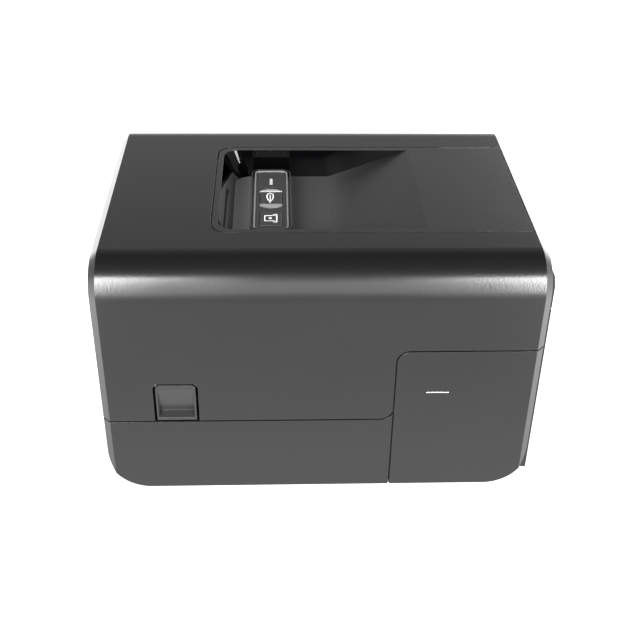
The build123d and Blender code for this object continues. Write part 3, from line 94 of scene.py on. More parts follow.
tree.links.new(sky.outputs[0], out.inputs[0])


# Soft boxes. Two tall ones stand left and right of the camera, with a faint one between them and one
# behind the printer. They draw the band of light along the rounded shoulder.
def soft_box(name, heading, height, distance, width, tall, power):
    """An area light that faces the printer from a heading and a height, both in degrees."""
    light = bpy.data.objects.new(name, bpy.data.lights.new(name, "AREA"))
    light.data.shape = "RECTANGLE"
    light.data.size = width
    light.data.size_y = tall
    light.data.energy = power
    heading, height = radians(heading), radians(height)
    towards = Vector((cos(heading) * cos(height), sin(heading) * cos(height), sin(height)))
    half_printer = 0.08
    light.location = towards * distance + Vector((0, 0, half_printer))
    light.rotation_euler = towards.to_track_quat("Z", "Y").to_euler()
    light.visible_camera = False
    scene.collection.objects.link(light)


soft_box("soft_box_left", -27, 21.5, distance=1.9, width=0.7, tall=1.66, power=152)
soft_box("soft_box_right", 30, 18.5, distance=1.9, width=0.7, tall=1.52, power=134)
soft_box("soft_box_middle", 2, 17, distance=2.0, width=0.9, tall=1.3, power=7)
soft_box("soft_box_far", 150, 12, distance=2.6, width=1.2, tall=0.5, power=9)


# Wiring. Short forms of the node work that all materials share, and the way a finish is given to a
# CAD node. Every place is read in the object's own frame, so a finish moves with its piece.
def feed(t, value, socket):
    """Gives an input a plain value or another node's output."""
    if isinstance(value, bpy.types.NodeSocket):
        t.links.new(value, socket)
    else:
        socket.default_value = value


def math_node(t, operation, *values):
    """A Math node."""
    node = t.nodes.new("ShaderNodeMath")
    node.operation = operation
    for index, value in enumerate(values):
        feed(t, value, node.inputs[index])
    return node.outputs[0]


def all_of(t, first, *others):
    """One where every condition is one, nought elsewhere."""
    for other in others:
        first = math_node(t, "MULTIPLY", first, other)
    return first


def between(t, value, low, high):
    """One where a coordinate lies between two limits, nought elsewhere."""
    return all_of(t, math_node(t, "GREATER_THAN", value, low), math_node(t, "LESS_THAN", value, high))


def map_range(t, value, low, high, at_low, at_high):
    """Runs from one value at a low limit to another at a high one."""
    node = t.nodes.new("ShaderNodeMapRange")
    feed(t, value, node.inputs[0])
    for socket, limit in (("From Min", low), ("From Max", high), ("To Min", at_low), ("To Max", at_high)):
        node.inputs[socket].default_value = limit
    return node.outputs[0]


def object_vector(t):
    """A point's place in the object's own frame."""
    return t.nodes.new("ShaderNodeTexCoord").outputs["Object"]


def coordinates(t, vector):
    """The X, Y and Z of a vector, by name."""
    apart = t.nodes.new("ShaderNodeSeparateXYZ")
    t.links.new(vector, apart.inputs[0])
    return apart.outputs


def noise(t, vector, scale, detail=2.0):
    """A noise texture's value."""
    node = t.nodes.new("ShaderNodeTexNoise")
    node.inputs["Detail"].default_value = detail
    t.links.new(vector, node.inputs["Vector"])
    feed(t, scale, node.inputs["Scale"])
    return node.outputs[0]


def grey(t, value):
    """A grey of a varying value."""
    node = t.nodes.new("ShaderNodeCombineColor")
    for channel in ("Red", "Green", "Blue"):
        t.links.new(value, node.inputs[channel])
    return node.outputs[0]


def toned(t, colour, tone):
    """A colour times a tone that varies over the surface."""
    node = t.nodes.new("ShaderNodeVectorMath")
    node.operation = "SCALE"
    feed(t, colour, node.inputs[0])
    t.links.new(tone, node.inputs["Scale"])
    return node.outputs[0]


def mixed(t, factor, under, over):
    """One colour over another."""
    node = t.nodes.new("ShaderNodeMix")
    node.data_type = "RGBA"
    t.links.new(factor, node.inputs["Factor"])
    feed(t, under, node.inputs["A"])
    feed(t, over, node.inputs["B"])
    return node.outputs["Result"]


def new_material(name):
    """A material, its node tree and its shader."""
    made = bpy.data.materials.new(name)
    made.use_nodes = True
    return made, made.node_tree, made.node_tree.nodes["Principled BSDF"]


def paint_over(material, factor, colour):
    """Lays a colour over a material's own one."""
    t = material.node_tree
    base = t.nodes["Principled BSDF"].inputs["Base Color"]
    t.links.new(mixed(t, factor, base.links[0].from_socket, colour), base)


def relief(t, shader, height, depth, edge):
    """Rounds the edges' shading and lays a fine relief over it."""
    rounded = t.nodes.new("ShaderNodeBevel")
    rounded.samples = 4
    rounded.inputs["Radius"].default_value = edge
    bump = t.nodes.new("ShaderNodeBump")
    bump.inputs["Strength"].default_value = 1.0
    bump.inputs["Distance"].default_value = depth
    t.links.new(height, bump.inputs["Height"])
    t.links.new(rounded.outputs[0], bump.inputs["Normal"])
    t.links.new(bump.outputs[0], shader.inputs["Normal"])


def finish(material, *names):
    """Gives CAD nodes their finish."""
    for name in names:
        node = nodes[name]
        if not node.material_slots:
            node.data.materials.append(material)
        for holder in node.material_slots:
            holder.material = material


# Floor. A wide sheet of white paper that lights itself, so that it stays white out to the edges of the
# picture. It is brighter close to the printer and beyond its two ends, and dimmer towards the room.
def floor_paper():
    paper, t, shader = new_material("floor_paper")
    at = coordinates(t, object_vector(t))
    close_by = map_range(t, at["X"], 0.14, 0.25, 1.35, 1.0)
    room_side = map_range(t, at["X"], 0.33, 0.47, 0.0, -0.56)
    past_ends = map_range(t, math_node(t, "ABSOLUTE", at["Y"]), 0.16, 0.42, 0.0, 1.6)
    strength = math_node(t, "ADD", math_node(t, "ADD", close_by, room_side), past_ends)
    fibre = map_range(t, noise(t, object_vector(t), 900.0), 0.0, 1.0, 0.05, 0.06)
    t.links.new(grey(t, fibre), shader.inputs["Base Color"])
    t.links.new(strength, shader.inputs["Emission Strength"])
    shader.inputs["Roughness"].default_value = 0.9
    shader.inputs["Emission Color"].default_value = (1, 1, 1, 1)
    return paper


sheet = bmesh.new()
bmesh.ops.create_circle(sheet, cap_ends=True, segments=96, radius=6.0)
floor_mesh = bpy.data.meshes.new("floor")
sheet.to_mesh(floor_mesh)
sheet.free()
floor = bpy.data.objects.new("floor", floor_mesh)
scene.collection.objects.link(floor)
floor_mesh.materials.append(floor_paper())


# Casing: top cover, front and rear lower case, bottom hatch, both latch flaps and the outlet bezel.
# Moulded in dark grey ABS against an eroded steel tool, which leaves a fine sparkling grain on it.
def new_group(name, inputs, outputs):
    """A shader node group with its named sockets."""
    group = bpy.data.node_groups.new(name, "ShaderNodeTree")
    for label, kind, value in inputs:
        socket = group.interface.new_socket(label, in_out="INPUT", socket_type=kind)
        if value is not None:
            socket.default_value = value
    for label, kind in outputs:
        group.interface.new_socket(label, in_out="OUTPUT", socket_type=kind)
    return group, group.nodes.new("NodeGroupInput"), group.nodes.new("NodeGroupOutput")


def make_grain_group():
    """Eroded-tool grain: fine pits, slow clouding of tone and gloss, and sparse bright specks."""
    group, given, gives = new_group(
        "moulded_grain",
        [("Vector", "NodeSocketVector", None), ("Grain Scale", "NodeSocketFloat", 1600.0),
         ("Cloud Scale", "NodeSocketFloat", 18.0), ("Tone Spread", "NodeSocketFloat", 0.12),
         ("Gloss Spread", "NodeSocketFloat", 0.06)],
        [("Tone", "NodeSocketFloat"), ("Gloss Shift", "NodeSocketFloat"), ("Height", "NodeSocketFloat")])
    place = given.outputs["Vector"]
    spread = given.outputs["Tone Spread"]
    pits = noise(group, place, given.outputs["Grain Scale"])
    clouds = noise(group, place, given.outputs["Cloud Scale"], detail=3.0)
    cells = group.nodes.new("ShaderNodeTexVoronoi")
    group.links.new(place, cells.inputs["Vector"])
    group.links.new(given.outputs["Grain Scale"], cells.inputs["Scale"])
    speck = cells.outputs["Distance"]
    cloud = math_node(group, "SUBTRACT", clouds, 0.5)
    tone = math_node(group, "ADD", math_node(group, "MULTIPLY", cloud, spread), 1.0)
    tone = math_node(group, "ADD", tone, math_node(group, "MULTIPLY", speck, spread))
    gloss = math_node(group, "MULTIPLY", cloud, given.outputs["Gloss Spread"])
    height = math_node(group, "ADD", math_node(group, "MULTIPLY", pits, 0.7),
                       math_node(group, "MULTIPLY", speck, 0.5))
    group.links.new(tone, gives.inputs["Tone"])
    group.links.new(gloss, gives.inputs["Gloss Shift"])
    group.links.new(height, gives.inputs["Height"])
    return group


def make_wear_group():
    """Where an outer edge has been rubbed: the rounded normal parts from the true one there."""
    group, given, gives = new_group(
        "rubbed_edge",
        [("Vector", "NodeSocketVector", None), ("Reach", "NodeSocketFloat", 0.0004),
         ("Rub Scale", "NodeSocketFloat", 140.0)],
        [("Mask", "NodeSocketFloat")])
    rounded = group.nodes.new("ShaderNodeBevel")
    rounded.samples = 4
    true = group.nodes.new("ShaderNodeNewGeometry")
    dot = group.nodes.new("ShaderNodeVectorMath")
    dot.operation = "DOT_PRODUCT"
    group.links.new(given.outputs["Reach"], rounded.inputs["Radius"])
    group.links.new(rounded.outputs[0], dot.inputs[0])
    group.links.new(true.outputs["Normal"], dot.inputs[1])
    rubs = noise(group, given.outputs["Vector"], given.outputs["Rub Scale"])
    edge = math_node(group, "SUBTRACT", 1.0, dot.outputs["Value"])
    edge = math_node(group, "MULTIPLY", edge, rubs)
    edge = math_node(group, "MINIMUM", math_node(group, "MULTIPLY", edge, 5.0), 1.0)
    group.links.new(edge, gives.inputs["Mask"])
    return group


moulded_grain = make_grain_group()
rubbed_edge = make_wear_group()


def use_group(t, group, **values):
    """A node group at work on the object's own frame. Underscores in its inputs' names stand for spaces."""
    node = t.nodes.new("ShaderNodeGroup")
    node.node_tree = group
    t.links.new(object_vector(t), node.inputs["Vector"])
    for label, value in values.items():
        node.inputs[label.replace("_", " ")].default_value = value
    return node.outputs


def plastic(name, colour, rough, grain=1600.0, depth=0.00002, tone=0.12, edge=0.0004, worn=0.25, coat=0.0):
    """Moulded plastic: colour clouded a little, grain in its bump, edges rounded and rubbed lighter."""
    made, t, shader = new_material(name)
    surface = use_group(t, moulded_grain, Grain_Scale=grain, Tone_Spread=tone)
    mask = use_group(t, rubbed_edge, Reach=edge)["Mask"]
    lighter = [min(1.0, c * 1.8 + 0.01) for c in colour]
    shown = mixed(t, math_node(t, "MULTIPLY", mask, worn), toned(t, colour, surface["Tone"]), (*lighter, 1))
    t.links.new(shown, shader.inputs["Base Color"])
    t.links.new(math_node(t, "ADD", surface["Gloss Shift"], rough), shader.inputs["Roughness"])
    relief(t, shader, surface["Height"], depth, edge)
    if coat:
        shader.inputs["Coat Weight"].default_value = coat
        shader.inputs["Coat Roughness"].default_value = 0.03
    return made


def print_line(material, y0, y1, z0, z1, x0):
    """Prints a thin white line on the +X side of a moulding, beyond x0."""
    t = material.node_tree
    at = coordinates(t, object_vector(t))
    printed = all_of(t, between(t, at["Y"], y0, y1), between(t, at["Z"], z0, z1),
                     math_node(t, "GREATER_THAN", at["X"], x0))
    paint_over(material, printed, (0.40, 0.40, 0.40, 1))


case_plastic = plastic("case_dark_grey", (0.0030, 0.0030, 0.0032), 0.22, grain=1000.0, depth=0.00004)
lined_plastic = plastic("case_dark_grey_lined", (0.0030, 0.0030, 0.0032), 0.22, grain=1000.0, depth=0.00004)
latch_plastic = plastic("latch_dark_grey", (0.0072, 0.0072, 0.0075), 0.28, grain=1400.0, depth=0.00002)
print_line(lined_plastic, y0=0.0642, y1=0.0784, z0=0.0808, z1=0.0813, x0=0.1055)
finish(case_plastic, "top_cover", "front_lower_case", "bottom_hatch", "outlet_bezel")
finish(lined_plastic, "rear_lower_case")
finish(latch_plastic, "latch_left", "latch_right")


# Insert of the cover top with its rim, recess, ramp and control pedestal, and the keypad face on it.
# Moulded in a slightly lighter satin grey with a finer grain than the casing. The recess floor is lighter
# and less glossy than the rest. Hands and dust have dulled its gloss, and light is painted into its colour
# against the shade in the pocket before the keypad. A thin highlight is painted along the far edge of the
# flush panel and along the keypad's lip.
def dull_and_light_floor(material, low, high, rough):
    """Dulls the floor, which fades out from a low to a high level, and the wall in front of it, and paints
    light into their colour.

    The floor is painted lightest in the pocket between that wall and the keypad, to lift the shade that
    falls there, and the painted light is held lower on the wall.
    """
    facing_up, facing_back = 0.9, 0.7
    wall_rear, wall_top, wall_dimmed = -0.056, 0.1730, 0.84
    pocket_end, open_start, pocket_light, open_light = -0.050, -0.020, 0.095, 0.024
    t = material.node_tree
    at = coordinates(t, object_vector(t))
    facing = coordinates(t, t.nodes.new("ShaderNodeTexCoord").outputs["Normal"])
    floor_part = all_of(t, map_range(t, at["Z"], low, high, 1.0, 0.0),
                        math_node(t, "GREATER_THAN", facing["Z"], facing_up))
    front_wall = all_of(t, math_node(t, "GREATER_THAN", facing["Y"], facing_back),
                        math_node(t, "LESS_THAN", at["Y"], wall_rear),
                        math_node(t, "LESS_THAN", at["Z"], wall_top))
    dulled_and_lit = math_node(t, "MAXIMUM", floor_part, front_wall)
    # Painted light: the floor's colour is lightest in the pocket, where shade from the wall and keypad
    # falls.
    painted_tone = map_range(t, at["Y"], pocket_end, open_start, pocket_light, open_light)
    # The painted light is held lower on the front wall.
    darker = math_node(t, "SUBTRACT", 1.0, math_node(t, "MULTIPLY", front_wall, wall_dimmed))
    paint_over(material, dulled_and_lit, grey(t, math_node(t, "MULTIPLY", painted_tone, darker)))
    gloss = t.nodes["Principled BSDF"].inputs["Roughness"]
    duller = math_node(t, "MULTIPLY", dulled_and_lit, rough)
    t.links.new(math_node(t, "ADD", gloss.links[0].from_socket, duller), gloss)


def paint_edge_highlight(material, above, left_of, behind, painted_tone):
    """Paints a highlight on a raised edge where light catches it: what lies above, left of and behind three
    limits.
    """
    t = material.node_tree
    at = coordinates(t, object_vector(t))
    highlighted = all_of(t, math_node(t, "GREATER_THAN", at["Z"], above),
                    math_node(t, "LESS_THAN", at["X"], left_of),
                    math_node(t, "GREATER_THAN", at["Y"], behind))
    paint_over(material, highlighted, (painted_tone, painted_tone, painted_tone, 1))


insert_plastic = plastic("insert_grey", (0.0050, 0.0050, 0.0052), 0.28, grain=2400.0, depth=0.000015)
insert_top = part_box("recess_tray")[1].z
# Paints light into the recess floor's colour against the pocket's shade, and dulls its gloss.
dull_and_light_floor(insert_plastic, low=0.1542, high=0.1600, rough=0.36)
# Painted highlight along the far edge of the insert's flush panel.
paint_edge_highlight(insert_plastic, above=insert_top - 0.0003, left_of=-0.0615, behind=0.087, painted_tone=0.16)
finish(insert_plastic, "recess_tray")
bezel_plastic = plastic("keypad_face", (0.0075, 0.0075, 0.0078), 0.30, grain=2400.0, depth=0.000015)
bezel_low, bezel_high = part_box("keypad_bezel")
# Painted highlight along the lip of the keypad face.
paint_edge_highlight(bezel_plastic, above=bezel_high.z - 0.0007, left_of=bezel_high.x - 0.0016,
            behind=bezel_low.y - 0.001, painted_tone=0.10)
finish(bezel_plastic, "keypad_bezel")

# Side windows of the recess. Smoked polycarbonate, moulded glossy, so dark that only its reflections show.
smoked = plastic("smoked_window", (0.0005, 0.0005, 0.0006), 0.05, grain=600.0, depth=0.000001, tone=0.3,
                 edge=0.0003, worn=0.1)
smoked.node_tree.nodes["Principled BSDF"].inputs["IOR"].default_value = 1.28
finish(smoked, "window_left", "window_right")

# Keys. Black moulded caps with a fine matt grain. Their pictograms are screen printed in white: a leaf
# for the saving mode, and a label that leaves its slot for the feed.
key_plastic = plastic("key_black", (0.012, 0.012, 0.0125), 0.36, grain=3000.0, depth=0.00001)
ink_white = plastic("ink_white", (0.60, 0.60, 0.60), 0.55, grain=2600.0, depth=0.000004, tone=0.1,
                    edge=0.00005, worn=0.0)
finish(key_plastic, "mode_button", "feed_button")


def ink_line(shape, points, width, low, high, closed=False):
    """A printed stroke of even width along flat points, with mitred corners."""
    count = len(points)
    rows = []
    for index, (x, y) in enumerate(points):
        before = points[index - 1] if closed or index else None
        after = points[(index + 1) % count] if closed or index < count - 1 else None
        sides = []
        for a, b in ((before, (x, y)), ((x, y), after)):
            if a and b:
                run = hypot(b[0] - a[0], b[1] - a[1])
                sides.append((-(b[1] - a[1]) / run, (b[0] - a[0]) / run))
        across = (sum(n[0] for n in sides) / len(sides), sum(n[1] for n in sides) / len(sides))
        square = across[0] ** 2 + across[1] ** 2
        reach = width / 2 / square
        corners = []
        for side, z in ((-1, low), (1, low), (1, high), (-1, high)):
            corners.append(shape.verts.new((x + side * across[0] * reach, y + side * across[1] * reach, z)))
        rows.append(corners)
    pairs = list(zip(rows, rows[1:] + rows[:1])) if closed else list(zip(rows, rows[1:]))
    for near, far in pairs:
        for a in range(4):
            b = (a + 1) % 4
            shape.faces.new((near[a], near[b], far[b], far[a]))
    if not closed:
        shape.faces.new(reversed(rows[0]))
        shape.faces.new(rows[-1])


def ink_dot(shape, x, y, radius, low, high):
    """A printed round dot."""
    bmesh.ops.create_cone(shape, cap_ends=True, segments=24, radius1=radius, radius2=radius,
                          depth=high - low, matrix=Matrix.Translation((x, y, (low + high) / 2)))


def settle(shape, name, body, material):
    """Turns finished mesh work into a piece that rides on a body."""
    bmesh.ops.recalc_face_normals(shape, faces=shape.faces)
    mesh = bpy.data.meshes.new(name)
    shape.to_mesh(mesh)
    shape.free()
    mesh.materials.append(material)
    piece = bpy.data.objects.new(name, mesh)
    scene.collection.objects.link(piece)
    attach(piece, body)


def key_face(name):
    """The middle of a key's top, and the two levels that its ink lies between."""
    low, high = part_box(name)
    ink = 0.00004
    return (low.x + high.x) / 2, (low.y + high.y) / 2, high.z - ink, high.z + ink


def print_leaf():
    """A leaf's outline, fuller at its stalk end, with its midrib and stalk."""
    half_length, half_width, fuller, steps = 0.0058, 0.0021, 0.25, 24
    rib_start, stalk_end, off_centre = -0.0034, 0.0082, 0.0006
    x, y, low, high = key_face("mode_button")
    x, y = x - off_centre, y - off_centre
    shape = bmesh.new()
    outline = []
    for step in range(steps):
        angle = tau * step / steps
        aside = half_width * sin(angle) * (1 - fuller * cos(angle))
        outline.append((x + half_length * cos(angle), y + aside))
    ink_line(shape, outline, 0.0007, low, high, closed=True)
    ink_line(shape, [(x + rib_start, y), (x + stalk_end, y)], 0.0006, low, high)
    settle(shape, "mode_pictogram", "mode_key", ink_white)


def print_label_leaving():
    """A label, open towards the slot that it leaves, with the slot's bracket over it and a dot on it."""
    label_half, label_start, label_end = 0.0035, 0.0026, -0.0040
    slot_half, slot_start, slot_end = 0.0050, 0.0014, 0.0038
    x, y, low, high = key_face("feed_button")
    x += 0.0001
    shape = bmesh.new()
    for half, start, end, width in ((label_half, label_start, label_end, 0.0007),
                                    (slot_half, slot_start, slot_end, 0.0008)):
        corners = [(x - half, y + start), (x - half, y + end), (x + half, y + end), (x + half, y + start)]
        ink_line(shape, corners, width, low, high)
    ink_dot(shape, x, y - 0.0004, 0.0011, low, high)
    settle(shape, "feed_pictogram", "feed_key", ink_white)


print_leaf()
print_label_leaving()

# Lamps of the keypad. The bar lens is milky white. The light guide round the mode key is frosted grey, with
# a lamp's glow painted into its colour towards its lamp end.
lamp_white = plastic("lamp_milky", (0.32, 0.32, 0.316), 0.30, grain=1200.0, depth=0.000004, tone=0.05,
                     edge=0.00015, worn=0.0)
lamp_grey = plastic("lamp_frosted", (0.12, 0.12, 0.123), 0.18, grain=1600.0, depth=0.000008, tone=0.08,
                    worn=0.1)


def paint_lamp_glow(material, x0, x1, gain):
    """Paints a lamp's glow into a light guide's colour, raising it towards the lamp end."""
    t = material.node_tree
    base = t.nodes["Principled BSDF"].inputs["Base Color"]
    painted_glow = map_range(t, coordinates(t, object_vector(t))["X"], x0, x1, gain, 1.0)
    t.links.new(toned(t, base.links[0].from_socket, painted_glow), base)


# Painted glow in the light guide, brightest at its lamp end.
paint_lamp_glow(lamp_grey, x0=-0.012, x1=0.006, gain=3.2)
finish(lamp_white, "status_light")
finish(lamp_grey, "mode_light")

# Inner mouldings. Chassis, media bay, holders and ribbon frame are satin mid-grey. Hubs, spindles,
# sensor, power inlet and rocker are black.
inner_plastic = plastic("inner_grey", (0.10, 0.10, 0.103), 0.45, grain=1200.0, depth=0.00002)
hub_plastic = plastic("hub_black", (0.018, 0.018, 0.018), 0.38, grain=2000.0, depth=0.00001)
finish(inner_plastic, "media_bay", "base_chassis", "holder_bed", "roll_holder_left", "roll_holder_right",
       "ribbon_frame")
finish(hub_plastic, "roll_hub_left", "roll_hub_right", "media_sensor", "dc_inlet", "rocker_frame",
       "power_rocker", "takeup_spindle", "supply_spindle")

# Gears and bearings. Cut and moulded in natural acetal.
acetal = plastic("acetal_natural", (0.62, 0.61, 0.57), 0.38, grain=900.0, depth=0.000008, tone=0.05,
                 worn=0.05)
finish(acetal, "platen_gear", "idler_gear", "takeup_gear", "sync_pinion", "platen_bearing_left",
       "platen_bearing_right")

# Rubber. The ground sleeve of the platen and the four feet.
rubber = plastic("rubber_black", (0.016, 0.016, 0.016), 0.72, grain=3000.0, depth=0.00003, tone=0.25,
                 worn=0.35)
finish(rubber, "platen_roller", "rubber_feet")


# Sheet steel, pins and screws: zinc plated, with fine drawing lines along the piece. The pinions are
# turned brass, the head's heat sink is extruded aluminium, and the motor and socket cans are nickel.
def metal(name, colour, rough, lines=(60.0, 900.0, 900.0), depth=0.000004):
    """Metal with drawn lines, clouded plating and rounded bright edges."""
    cloud_scale, cloud_spread, cloud_least = 70.0, 0.25, 0.88
    gloss_spread, edge = 0.16, 0.0003
    made, t, shader = new_material(name)
    shader.inputs["Metallic"].default_value = 1.0
    stretch = t.nodes.new("ShaderNodeMapping")
    stretch.inputs["Scale"].default_value = lines
    t.links.new(object_vector(t), stretch.inputs["Vector"])
    drawn = noise(t, stretch.outputs[0], 1.0, detail=3.0)
    plating = math_node(t, "MULTIPLY", noise(t, object_vector(t), cloud_scale), cloud_spread)
    plating = math_node(t, "ADD", plating, cloud_least)
    t.links.new(toned(t, colour, plating), shader.inputs["Base Color"])
    gloss = math_node(t, "MULTIPLY", drawn, gloss_spread)
    t.links.new(math_node(t, "ADD", gloss, rough - gloss_spread / 2), shader.inputs["Roughness"])
    relief(t, shader, drawn, depth, edge)
    return made


steel = metal("steel_plated", (0.56, 0.56, 0.55), 0.34)
brass = metal("brass_turned", (0.72, 0.53, 0.24), 0.30)
aluminium = metal("aluminium_extruded", (0.66, 0.66, 0.67), 0.38)
nickel = metal("nickel_can", (0.60, 0.60, 0.59), 0.24, lines=(300.0, 300.0, 300.0), depth=0.000002)
finish(steel, "platen_shaft", "hinge_pins", "latch_pins", "tear_bar", "motor_bracket", "catch_left",
       "catch_right", "port_plate", "case_screws", "sensor_rail")
finish(brass, "feed_pinion", "ribbon_pinion")
finish(aluminium, "head_bracket")
finish(nickel, "ribbon_motor", "usb_port", "network_port", "serial_port")

# Feed motor. Laminations painted black.
motor_paint = plastic("motor_black", (0.016, 0.016, 0.017), 0.48, grain=500.0, depth=0.00005, tone=0.3,
                      worn=0.6)
finish(motor_paint, "feed_motor")

# Print head. A glazed ceramic strip.
ceramic = plastic("head_ceramic", (0.36, 0.29, 0.24), 0.16, grain=700.0, depth=0.000002, tone=0.1, coat=0.5)
finish(ceramic, "printhead")

# Boards. Glass fibre laminate under green solder mask.
solder_mask = plastic("board_green", (0.012, 0.085, 0.035), 0.28, grain=500.0, depth=0.00001, tone=0.35,
                      worn=0.3)
finish(solder_mask, "main_board", "panel_board")


# Shade in the split between the lower cases. Black strips on the inner faces of both side walls and of the
# bottom, and a thin tongue that fills the split under the bottom, are put in so that no light shows through
# and the split stays dark as shade.
def prism(shape, profile, side, y0, y1):
    """An outline in X and Z, given for the right side and turned over for the left, drawn out along Y."""
    near = [shape.verts.new((side * x, y0, z)) for x, z in profile]
    far = [shape.verts.new((side * x, y1, z)) for x, z in profile]
    shape.faces.new(near)
    shape.faces.new(reversed(far))
    for a in range(len(profile)):
        b = (a + 1) % len(profile)
        shape.faces.new((near[a], far[a], far[b], near[b]))


def shade_the_split():
    wall, clear, half_gap = 0.0025, 0.0001, 0.0005
    strip_thick, strip_top, strip_half = 0.00035, 0.112, 0.0032
    tongue_reach, tongue_drop, tongue_half = 0.0016, 0.0022, 0.00048
    front_low, front_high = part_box("front_lower_case")
    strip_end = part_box("base_chassis")[1].x + 0.0002
    hatch_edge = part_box("bottom_hatch")[1].x + 0.0006
    split_y = front_high.y + half_gap
    outer = front_high.x - wall - clear
    low = front_low.z + wall + clear
    strip_outline = [(outer, strip_top), (outer, low), (strip_end, low), (strip_end, low + strip_thick),
                    (outer - strip_thick, low + strip_thick), (outer - strip_thick, strip_top)]
    tongue_outline = [(hatch_edge, low), (outer + tongue_reach, low),
                      (outer + tongue_reach, low - tongue_drop), (hatch_edge, low - tongue_drop)]
    shape = bmesh.new()
    for side in (-1, 1):
        prism(shape, strip_outline, side, split_y - strip_half, split_y + strip_half)
        prism(shape, tongue_outline, side, split_y - tongue_half, split_y + tongue_half)
    # Dark filler pieces that only make shade in the split.
    settle(shape, "split_shade_filler", "base", rubber)


shade_the_split()


# Contacts of the data sockets. Gold plated pins and blades, stamped, standing in rows in their shells.
def repeat_row(name, shape, count, step, body, material):
    """Repeats one finished shape along a straight row with Geometry Nodes and keeps the plain mesh."""
    mesh = bpy.data.meshes.new(name + "_one")
    bmesh.ops.recalc_face_normals(shape, faces=shape.faces)
    shape.to_mesh(mesh)
    shape.free()
    holder = bpy.data.objects.new(name + "_one", mesh)
    scene.collection.objects.link(holder)
    work = bpy.data.node_groups.new(name + "_row", "GeometryNodeTree")
    work.interface.new_socket("Shape", in_out="INPUT", socket_type="NodeSocketGeometry")
    sockets = {}
    for label, kind in (("Count", "NodeSocketInt"), ("Step", "NodeSocketVector")):
        sockets[label] = work.interface.new_socket(label, in_out="INPUT", socket_type=kind).identifier
    work.interface.new_socket("Row", in_out="OUTPUT", socket_type="NodeSocketGeometry")
    given = work.nodes.new("NodeGroupInput")
    gives = work.nodes.new("NodeGroupOutput")
    line = work.nodes.new("GeometryNodeMeshLine")
    placed = work.nodes.new("GeometryNodeInstanceOnPoints")
    real = work.nodes.new("GeometryNodeRealizeInstances")
    dressed = work.nodes.new("GeometryNodeSetMaterial")
    dressed.inputs["Material"].default_value = material
    work.links.new(given.outputs["Count"], line.inputs["Count"])
    work.links.new(given.outputs["Step"], line.inputs["Offset"])
    work.links.new(line.outputs[0], placed.inputs["Points"])
    work.links.new(given.outputs["Shape"], placed.inputs["Instance"])
    work.links.new(placed.outputs[0], real.inputs[0])
    work.links.new(real.outputs[0], dressed.inputs["Geometry"])
    work.links.new(dressed.outputs[0], gives.inputs[0])
    row = holder.modifiers.new("row", "NODES")
    row.node_group = work
    row[sockets["Count"]] = count
    row[sockets["Step"]] = step
    made = bpy.data.meshes.new_from_object(holder.evaluated_get(bpy.context.evaluated_depsgraph_get()))
    holder.modifiers.clear()
    bpy.data.objects.remove(holder)
    piece = bpy.data.objects.new(name, made)
    scene.collection.objects.link(piece)
    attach(piece, body)


def block(x0, x1, y0, y1, z0, z1, drop=0.0):
    """A plain bar, its far end lowered by the drop."""
    shape = bmesh.new()
    corners = [shape.verts.new((x, y, z - (drop if y == y0 else 0.0)))
               for x in (x0, x1) for y in (y0, y1) for z in (z0, z1)]
    for face in ((0, 1, 3, 2), (4, 6, 7, 5), (0, 4, 5, 1), (2, 3, 7, 6), (0, 2, 6, 4), (1, 5, 7, 3)):
        shape.faces.new([corners[index] for index in face])
    return shape


def pin(x, y0, y1, z, radius):
    """A round pin along Y with a blunt point."""
    sides = 12
    shape = bmesh.new()
    rings = []
    for y, r in ((y0, radius), (y1 - radius, radius), (y1, radius * 0.4)):
        rings.append([shape.verts.new((x + r * cos(tau * step / sides), y, z + r * sin(tau * step / sides)))
                      for step in range(sides)])
    for near, far in zip(rings, rings[1:]):
        for a in range(sides):
            b = (a + 1) % sides
            shape.faces.new((near[a], near[b], far[b], far[a]))
    shape.faces.new(rings[0])
    shape.faces.new(rings[-1])
    return shape


gold = metal("contact_gold", (0.78, 0.58, 0.25), 0.24, lines=(300.0, 300.0, 300.0), depth=0.000001)


def make_serial_pins():
    """Two rows, five pins over four, in the standard pitch of the nine-pin plug."""
    pitch, row_half, radius = 0.00277, 0.0014, 0.0005
    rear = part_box("port_plate")[1].y
    low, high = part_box("serial_port")
    x, z = (low.x + high.x) / 2, high.z - 0.0063
    for row, count, rise in (("upper", 5, row_half), ("lower", 4, -row_half)):
        start = x - pitch * (count - 1) / 2
        one = pin(start, rear - 0.0005, rear + 0.0035, z + rise, radius)
        repeat_row("serial_pins_" + row, one, count, (pitch, 0, 0), "base", gold)


def make_network_wires():
    """Eight spring wires that slope down from the back of the socket."""
    pitch, half, thick = 0.00102, 0.0002, 0.0003
    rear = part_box("port_plate")[1].y
    low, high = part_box("network_port")
    start = (low.x + high.x) / 2 - 3.5 * pitch
    z = low.z + 0.0088
    wire = block(start - half, start + half, rear - 0.0095, rear - 0.002, z, z + thick, drop=0.0022)
    repeat_row("network_wires", wire, 8, (pitch, 0, 0), "base", gold)


def make_usb_blades():
    """Two blades above the tongue of the square socket and two below it."""
    pitch, wide, thick = 0.0028, 0.0010, 0.00015
    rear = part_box("port_plate")[1].y
    low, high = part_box("usb_port")
    start = (low.x + high.x) / 2 - 0.0019
    for place, z in (("upper", low.z + 0.0069), ("lower", low.z + 0.00395)):
        blade = block(start, start + wide, rear - 0.006, rear - 0.0008, z, z + thick)
        repeat_row("usb_blades_" + place, blade, 2, (pitch, 0, 0), "base", gold)


make_serial_pins()
make_network_wires()
make_usb_blades()


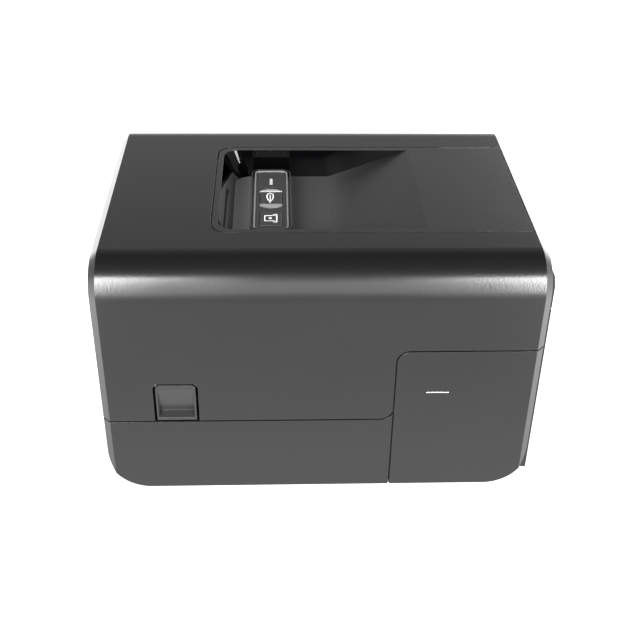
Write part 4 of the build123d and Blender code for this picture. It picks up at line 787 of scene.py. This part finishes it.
# Marks of the power rocker: a stroke for on and a ring for off, printed in white on its two halves. The
# rocker lies tilted, and each half slopes to the middle.
def print_rocker_marks():
    tilt, slope = radians(7.0), 0.6
    rim, dish, pivot_depth, reach = 0.0006, 0.0016, 0.004, 0.0088
    under, over, half_mark, steps = -0.00003, 0.00004, 0.0019, 24
    low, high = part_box("power_rocker")
    frame_low, frame_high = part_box("rocker_frame")
    middle = (frame_low.z + frame_high.z) / 2
    x = (low.x + high.x) / 2
    outer = frame_high.y + rim
    rise = slope * reach * tan(tilt)
    pivot = Vector((0, outer - pivot_depth, middle))
    turned = Matrix.Translation(pivot) @ Matrix.Rotation(tilt, 4, "X") @ Matrix.Translation(-pivot)
    for name, side in (("rocker_mark_on", 1), ("rocker_mark_off", -1)):
        shape = bmesh.new()
        if side > 0:
            ink_line(shape, [(0, -half_mark), (0, half_mark)], 0.0008, under, over)
        else:
            ring = [(half_mark * cos(tau * step / steps), half_mark * sin(tau * step / steps))
                    for step in range(steps)]
            ink_line(shape, ring, 0.0007, under, over, closed=True)
        stand = Matrix.Translation((x, outer - dish + rise / 2, middle + side * reach / 2))
        stand = stand @ Matrix.Rotation(-pi / 2 - side * atan2(rise, reach), 4, "X")
        bmesh.ops.transform(shape, matrix=turned @ stand, verts=shape.verts)
        settle(shape, name, "power", ink_white)


print_rocker_marks()


# Stiffening ribs under the cover's roof. Moulded with the cover, they follow the inside of both shoulders.
def make_cover_ribs():
    shoulder, clear, deep, thick = 0.024, 0.0015, 0.0055, 0.0012
    inner_end, start, pitch, count, steps = 0.0705, 0.036, 0.024, 10, 8
    low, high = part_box("top_cover")
    axis_x, axis_z = high.x - shoulder, high.z - shoulder
    outer = [(inner_end, high.z - clear)]
    inner = [(inner_end, high.z - deep)]
    for step in range(steps + 1):
        angle = radians(90 - 65 * step / steps)
        for row, inset in ((outer, clear), (inner, deep)):
            row.append((axis_x + (shoulder - inset) * cos(angle), axis_z + (shoulder - inset) * sin(angle)))
    for word, side in (("left", -1), ("right", 1)):
        shape = bmesh.new()
        prism(shape, outer + inner[::-1], side, low.y + start, low.y + start + thick)
        repeat_row("cover_ribs_" + word, shape, count, (0, pitch, 0), "cover", case_plastic)


make_cover_ribs()


# Head springs. Coils of spring wire, open wound, that stand between the print head and the ribbon frame.
def make_springs():
    wire, turns, steps_a_turn = 0.00035, 6, 16
    low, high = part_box("head_springs")
    middle = (low.y + high.y) / 2
    radius = (high.y - low.y) / 2 - wire
    steps = turns * steps_a_turn
    lines = bpy.data.curves.new("head_spring_coils", "CURVE")
    lines.dimensions = "3D"
    lines.bevel_depth = wire
    lines.bevel_resolution = 3
    for x in (low.x + radius + wire, high.x - radius - wire):
        spline = lines.splines.new("POLY")
        spline.points.add(steps)
        for index, point in enumerate(spline.points):
            angle = tau * turns * index / steps
            z = low.z + wire + (high.z - low.z - 2 * wire) * index / steps
            point.co = (x + radius * cos(angle), middle + radius * sin(angle), z, 1)
    holder = bpy.data.objects.new("spring_line", lines)
    scene.collection.objects.link(holder)
    shape = bpy.data.meshes.new_from_object(holder.evaluated_get(bpy.context.evaluated_depsgraph_get()))
    bpy.data.objects.remove(holder)
    coils = bpy.data.objects.new("spring_coils", shape)
    scene.collection.objects.link(coils)
    shape.materials.clear()
    shape.materials.append(steel)
    for face in shape.polygons:
        face.use_smooth = True
    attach(coils, "cover")
    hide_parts("head_springs")
    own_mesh(coils)


make_springs()

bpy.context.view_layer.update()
